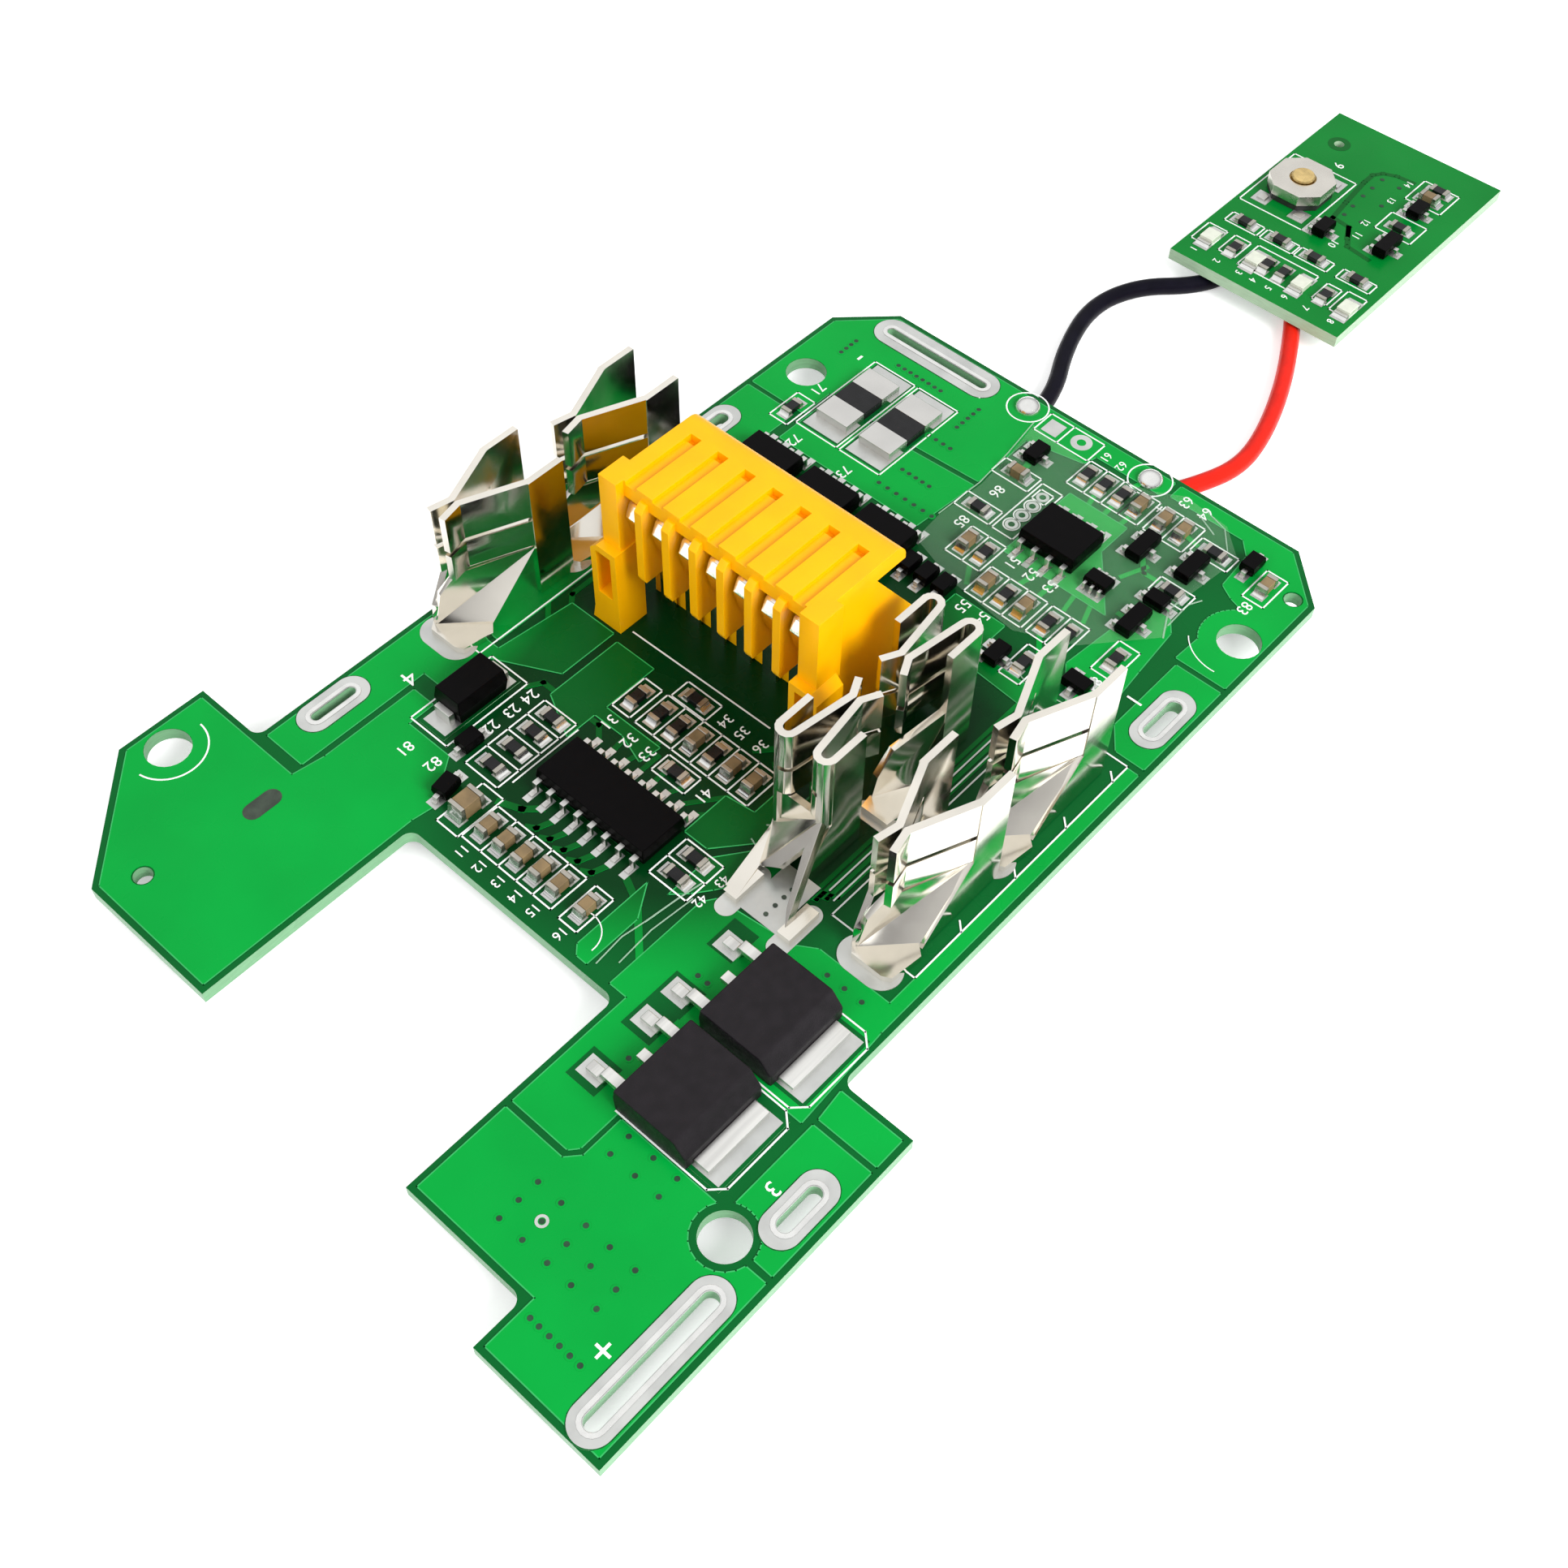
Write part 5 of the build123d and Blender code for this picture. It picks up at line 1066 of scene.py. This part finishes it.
class BOARD_OT_print(bpy.types.Operator):
    """Prints the white boxes, rings and plain numbers"""

    bl_idname = "board.print"
    bl_label = "Printed marks"

    def execute(self, context):
        width, height = context.scene.board_settings.print_width, PRINT_HEIGHT * MM
        bm = bmesh.new()
        for u0, v0, u1, v1, rungs, along_u in PRINT_BOXES:
            add_path(bm, places(box_corners(u0, v0, u1, v1), PRINT_Z), width, height, closed=True)
            for at in rungs:
                rung = [(u0, at), (u1, at)] if along_u else [(at, v0), (at, v1)]
                add_path(bm, places(rung, PRINT_Z), width, height)
        for bends in PRINT_LINES:
            add_path(bm, places(bends, PRINT_Z), width, height)
        for hole in places(ROW_HOLES[:3], PRINT_Z):
            add_ring(bm, hole, HOLE_RING * MM, HOLE_RING * MM + width, height, segments=24)
        for u, v, radius in PRINT_RINGS:
            add_ring(bm, spot(u, v, PRINT_Z), radius * MM - width, radius * MM, height, segments=40)
        for u, v, inner, outer, steps, start, turn in PRINT_ARCS:
            add_ring(bm, spot(u, v, PRINT_Z), inner * MM, outer * MM, height, steps, start, turn)
        keep_outward(bm, "printed_lines", "white_print")
        bm = bmesh.new()
        for text, u, v, size in PRINT_NUMBERS:
            add_number(bm, text, spot(u, v, NUMBER_Z), size * MM)
        keep(bm, "printed_numbers", "white_print")
        bm = bmesh.new()
        for box in LAMP_PRINT_BOXES:
            add_path(bm, places(box_corners(*box), on=lamp_spot), width, height, closed=True)
        for text, u, v, size in LAMP_PRINT_NUMBERS:
            add_number(bm, text, lamp_spot(u, v), size * MM)
        keep_outward(bm, "indicator_print", "white_print")
        return {"FINISHED"}


def add_end_solder(solder, pads, low, high, away, reach):
    """Solder that climbs a chip's end cap on the side away from its body, and the pad under it."""
    along_x = abs(away.x) > abs(away.y)
    along = (math.copysign(1, away.x), 0, 0) if along_x else (0, math.copysign(1, away.y), 0)
    outward = Vector(along)
    across = Vector((-outward.y, outward.x, 0))
    half = (high.y - low.y if along_x else high.x - low.x) / 2
    depth = (high.x - low.x if along_x else high.y - low.y) / 2
    face = (low + high) / 2 + outward * depth
    face.z = low.z
    tall = (high.z - low.z) * SOLDER_CLIMB
    tuck = -SOLDER_TUCK * MM
    profile = [(tuck, 0), (tuck, tall), *[(reach * a, tall * z) for a, z in SOLDER_SLOPE]]
    profile += [(reach, SOLDER_END * MM), (reach, 0)]
    side = [solder.verts.new(face + outward * a + across * -half + Vector((0, 0, z))) for a, z in profile]
    grown = bmesh.ops.extrude_face_region(solder, geom=[solder.faces.new(side)])["geom"]
    bmesh.ops.translate(solder, vec=across * 2 * half, verts=verts_of(grown))
    under, beside, past = (length * MM for length in CHIP_PAD)
    inner = face - outward * (depth * 2 + under) - across * (half + beside)
    outer = face + outward * (reach + past) + across * (half + beside)
    pad_high = Vector(map(max, inner, outer)) + Vector((0, 0, PAD_HEIGHT * MM))
    add_box(pads, Vector(map(min, inner, outer)), pad_high)


def add_lead_pad(pads, low, high, grow_x, grow_y):
    """A pad under a lead that reaches past it by two lengths in millimetres."""
    grow = Vector((grow_x * MM, grow_y * MM, 0))
    add_box(pads, low - grow, Vector((high.x, high.y, low.z + PAD_HEIGHT * MM)) + grow)


class BOARD_OT_solder(bpy.types.Operator):
    """Adds the solder and pads at chip ends and leads"""

    bl_idname = "board.solder"
    bl_label = "Solder and pads"

    def execute(self, context):
        reach = context.scene.board_settings.solder_reach
        solder = bmesh.new()
        pads = bmesh.new()
        for ends, bodies in CHIP_ENDS.items():
            middles = [(low + high) / 2 for low, high in islands(bodies)]
            for low, high in islands(ends):
                centre = (low + high) / 2
                away = centre - min(middles, key=lambda m: (m - centre).length)
                add_end_solder(solder, pads, low, high, away, reach)
        keep_outward(solder, "chip_end_solder", "solder", smooth_angle=70)
        inward, past, beside = (length * MM for length in LEAD_PAD)
        for leads in ROW_LEADS:
            rows_low, rows_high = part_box(leads)
            for low, high in islands(leads):
                side = 1 if (low.x + high.x) / 2 > (rows_low.x + rows_high.x) / 2 else -1
                tip = high.x if side > 0 else low.x
                a, b = sorted((tip - side * inward, tip + side * past))
                pad_high = Vector((b, high.y + beside, low.z + PAD_HEIGHT * MM))
                add_box(pads, Vector((a, low.y - beside, low.z)), pad_high)
        for low, high in islands("small_semiconductor_leads") + islands("indicator_transistor_leads"):
            add_lead_pad(pads, low, high, grow_x=0.22, grow_y=0.22)
        for u0, v0, u1, v1 in LARGE_PADS:
            add_box(pads, spot(u0, v0), spot(u1, v1, LARGE_PAD_HEIGHT))
        for u, v, inner, outer, steps in PAD_RINGS:
            add_ring(pads, spot(u, v), inner * MM, outer * MM, RING_HEIGHT * MM, steps)
        for low, high in islands("switch_leads"):
            add_lead_pad(pads, low, high, grow_x=0.4, grow_y=0.35)
        keep(pads, "solder_pads", "tinned_pad")
        return {"FINISHED"}


class BOARD_OT_contacts(bpy.types.Operator):
    """Finishes the receptacle contacts, their tinned feet and the soldered joints"""

    bl_idname = "board.contacts"
    bl_label = "Receptacle contacts"

    def execute(self, context):
        sheet_round = context.scene.metal_settings.sheet_round
        for side in ("left", "right", "middle"):
            for end in ("front", "rear"):
                node = f"{side}_{end}_contact"
                rounded_copy(node, f"{node}_sheet", "sheet_metal", sheet_round)
        for node in ("battery_tab_pads", "contact_foot_pads"):
            paint(node, "tinned_pad")
        for node in ("underside_solder_joints", "wire_solder_joints"):
            rounded_copy(node, f"{node}_beads", "solder", 0.0, angle=50)
        return {"FINISHED"}


class BOARD_OT_connector(bpy.types.Operator):
    """Finishes the signal connector and its leaf contacts"""

    bl_idname = "board.connector"
    bl_label = "Signal connector"

    def execute(self, context):
        edge_round = context.scene.plastic_settings.edge_round
        rounded_copy(
            "connector_housing", "connector_moulding", "yellow_plastic", edge_round, segments=3,
        )
        for i in range(1, 8):
            name = f"leaf_contact_{i}"
            rounded_copy(f"connector_contact_{i}", name, "leaf_metal", 0.05 * MM)
        return {"FINISHED"}


class BOARD_OT_chips(bpy.types.Operator):
    """Finishes the power transistors, chips, shunts, diodes and chip parts"""

    bl_idname = "board.chips"
    bl_label = "Chips and small parts"

    def execute(self, context):
        for material, width, nodes in CHIP_FINISHES:
            for node in nodes:
                rounded_copy(node, f"{node}_finished", material, width * MM)
        return {"FINISHED"}


class BOARD_OT_switch(bpy.types.Operator):
    """Finishes the push switch"""

    bl_idname = "board.switch"
    bl_label = "Push switch"

    def execute(self, context):
        rounded_copy("switch_base", "switch_moulding", "switch_plastic", 0.05 * MM)
        rounded_copy("switch_cover", "switch_shell", "switch_steel", 0.12 * MM)
        rounded_copy("switch_dome", "switch_snap_dome", "switch_steel", 0.0)
        rounded_copy("switch_button", "switch_cap", "brass", 0.05 * MM, body="button")
        return {"FINISHED"}


class BOARD_PT_panel(bpy.types.Panel):
    """Shows the board's settings and the buttons that make its pieces in the sidebar"""

    bl_idname = "BOARD_PT_panel"
    bl_label = "Battery management board"
    bl_space_type = "VIEW_3D"
    bl_region_type = "UI"
    bl_category = "Board"

    def draw(self, context):
        for group in settings():
            for name in group.__annotations__:
                self.layout.prop(group, name)
        for operator in OPERATORS:
            self.layout.operator(operator.bl_idname)


OPERATORS = [
    BOARD_OT_finishes, BOARD_OT_stage, BOARD_OT_wires, BOARD_OT_boards, BOARD_OT_print, BOARD_OT_solder,
    BOARD_OT_contacts, BOARD_OT_connector, BOARD_OT_chips, BOARD_OT_switch,
]
GROUPS = {
    "board_settings": BoardSettings, "plastic_settings": PlasticSettings, "metal_settings": MetalSettings,
}


def register():
    for name, group in GROUPS.items():
        bpy.utils.register_class(group)
        setattr(bpy.types.Scene, name, bpy.props.PointerProperty(type=group))
    for operator in OPERATORS:
        bpy.utils.register_class(operator)
    bpy.utils.register_class(BOARD_PT_panel)


def unregister():
    bpy.utils.unregister_class(BOARD_PT_panel)
    for operator in reversed(OPERATORS):
        bpy.utils.unregister_class(operator)
    for name, group in GROUPS.items():
        delattr(bpy.types.Scene, name)
        bpy.utils.unregister_class(group)


def main():
    register()
    bpy.ops.board.finishes()
    bpy.ops.board.stage()
    bpy.ops.board.wires()
    bpy.ops.board.boards()
    bpy.ops.board.print()
    bpy.ops.board.solder()
    bpy.ops.board.contacts()
    bpy.ops.board.connector()
    bpy.ops.board.chips()
    bpy.ops.board.switch()


if __name__ == "__main__":
    main()
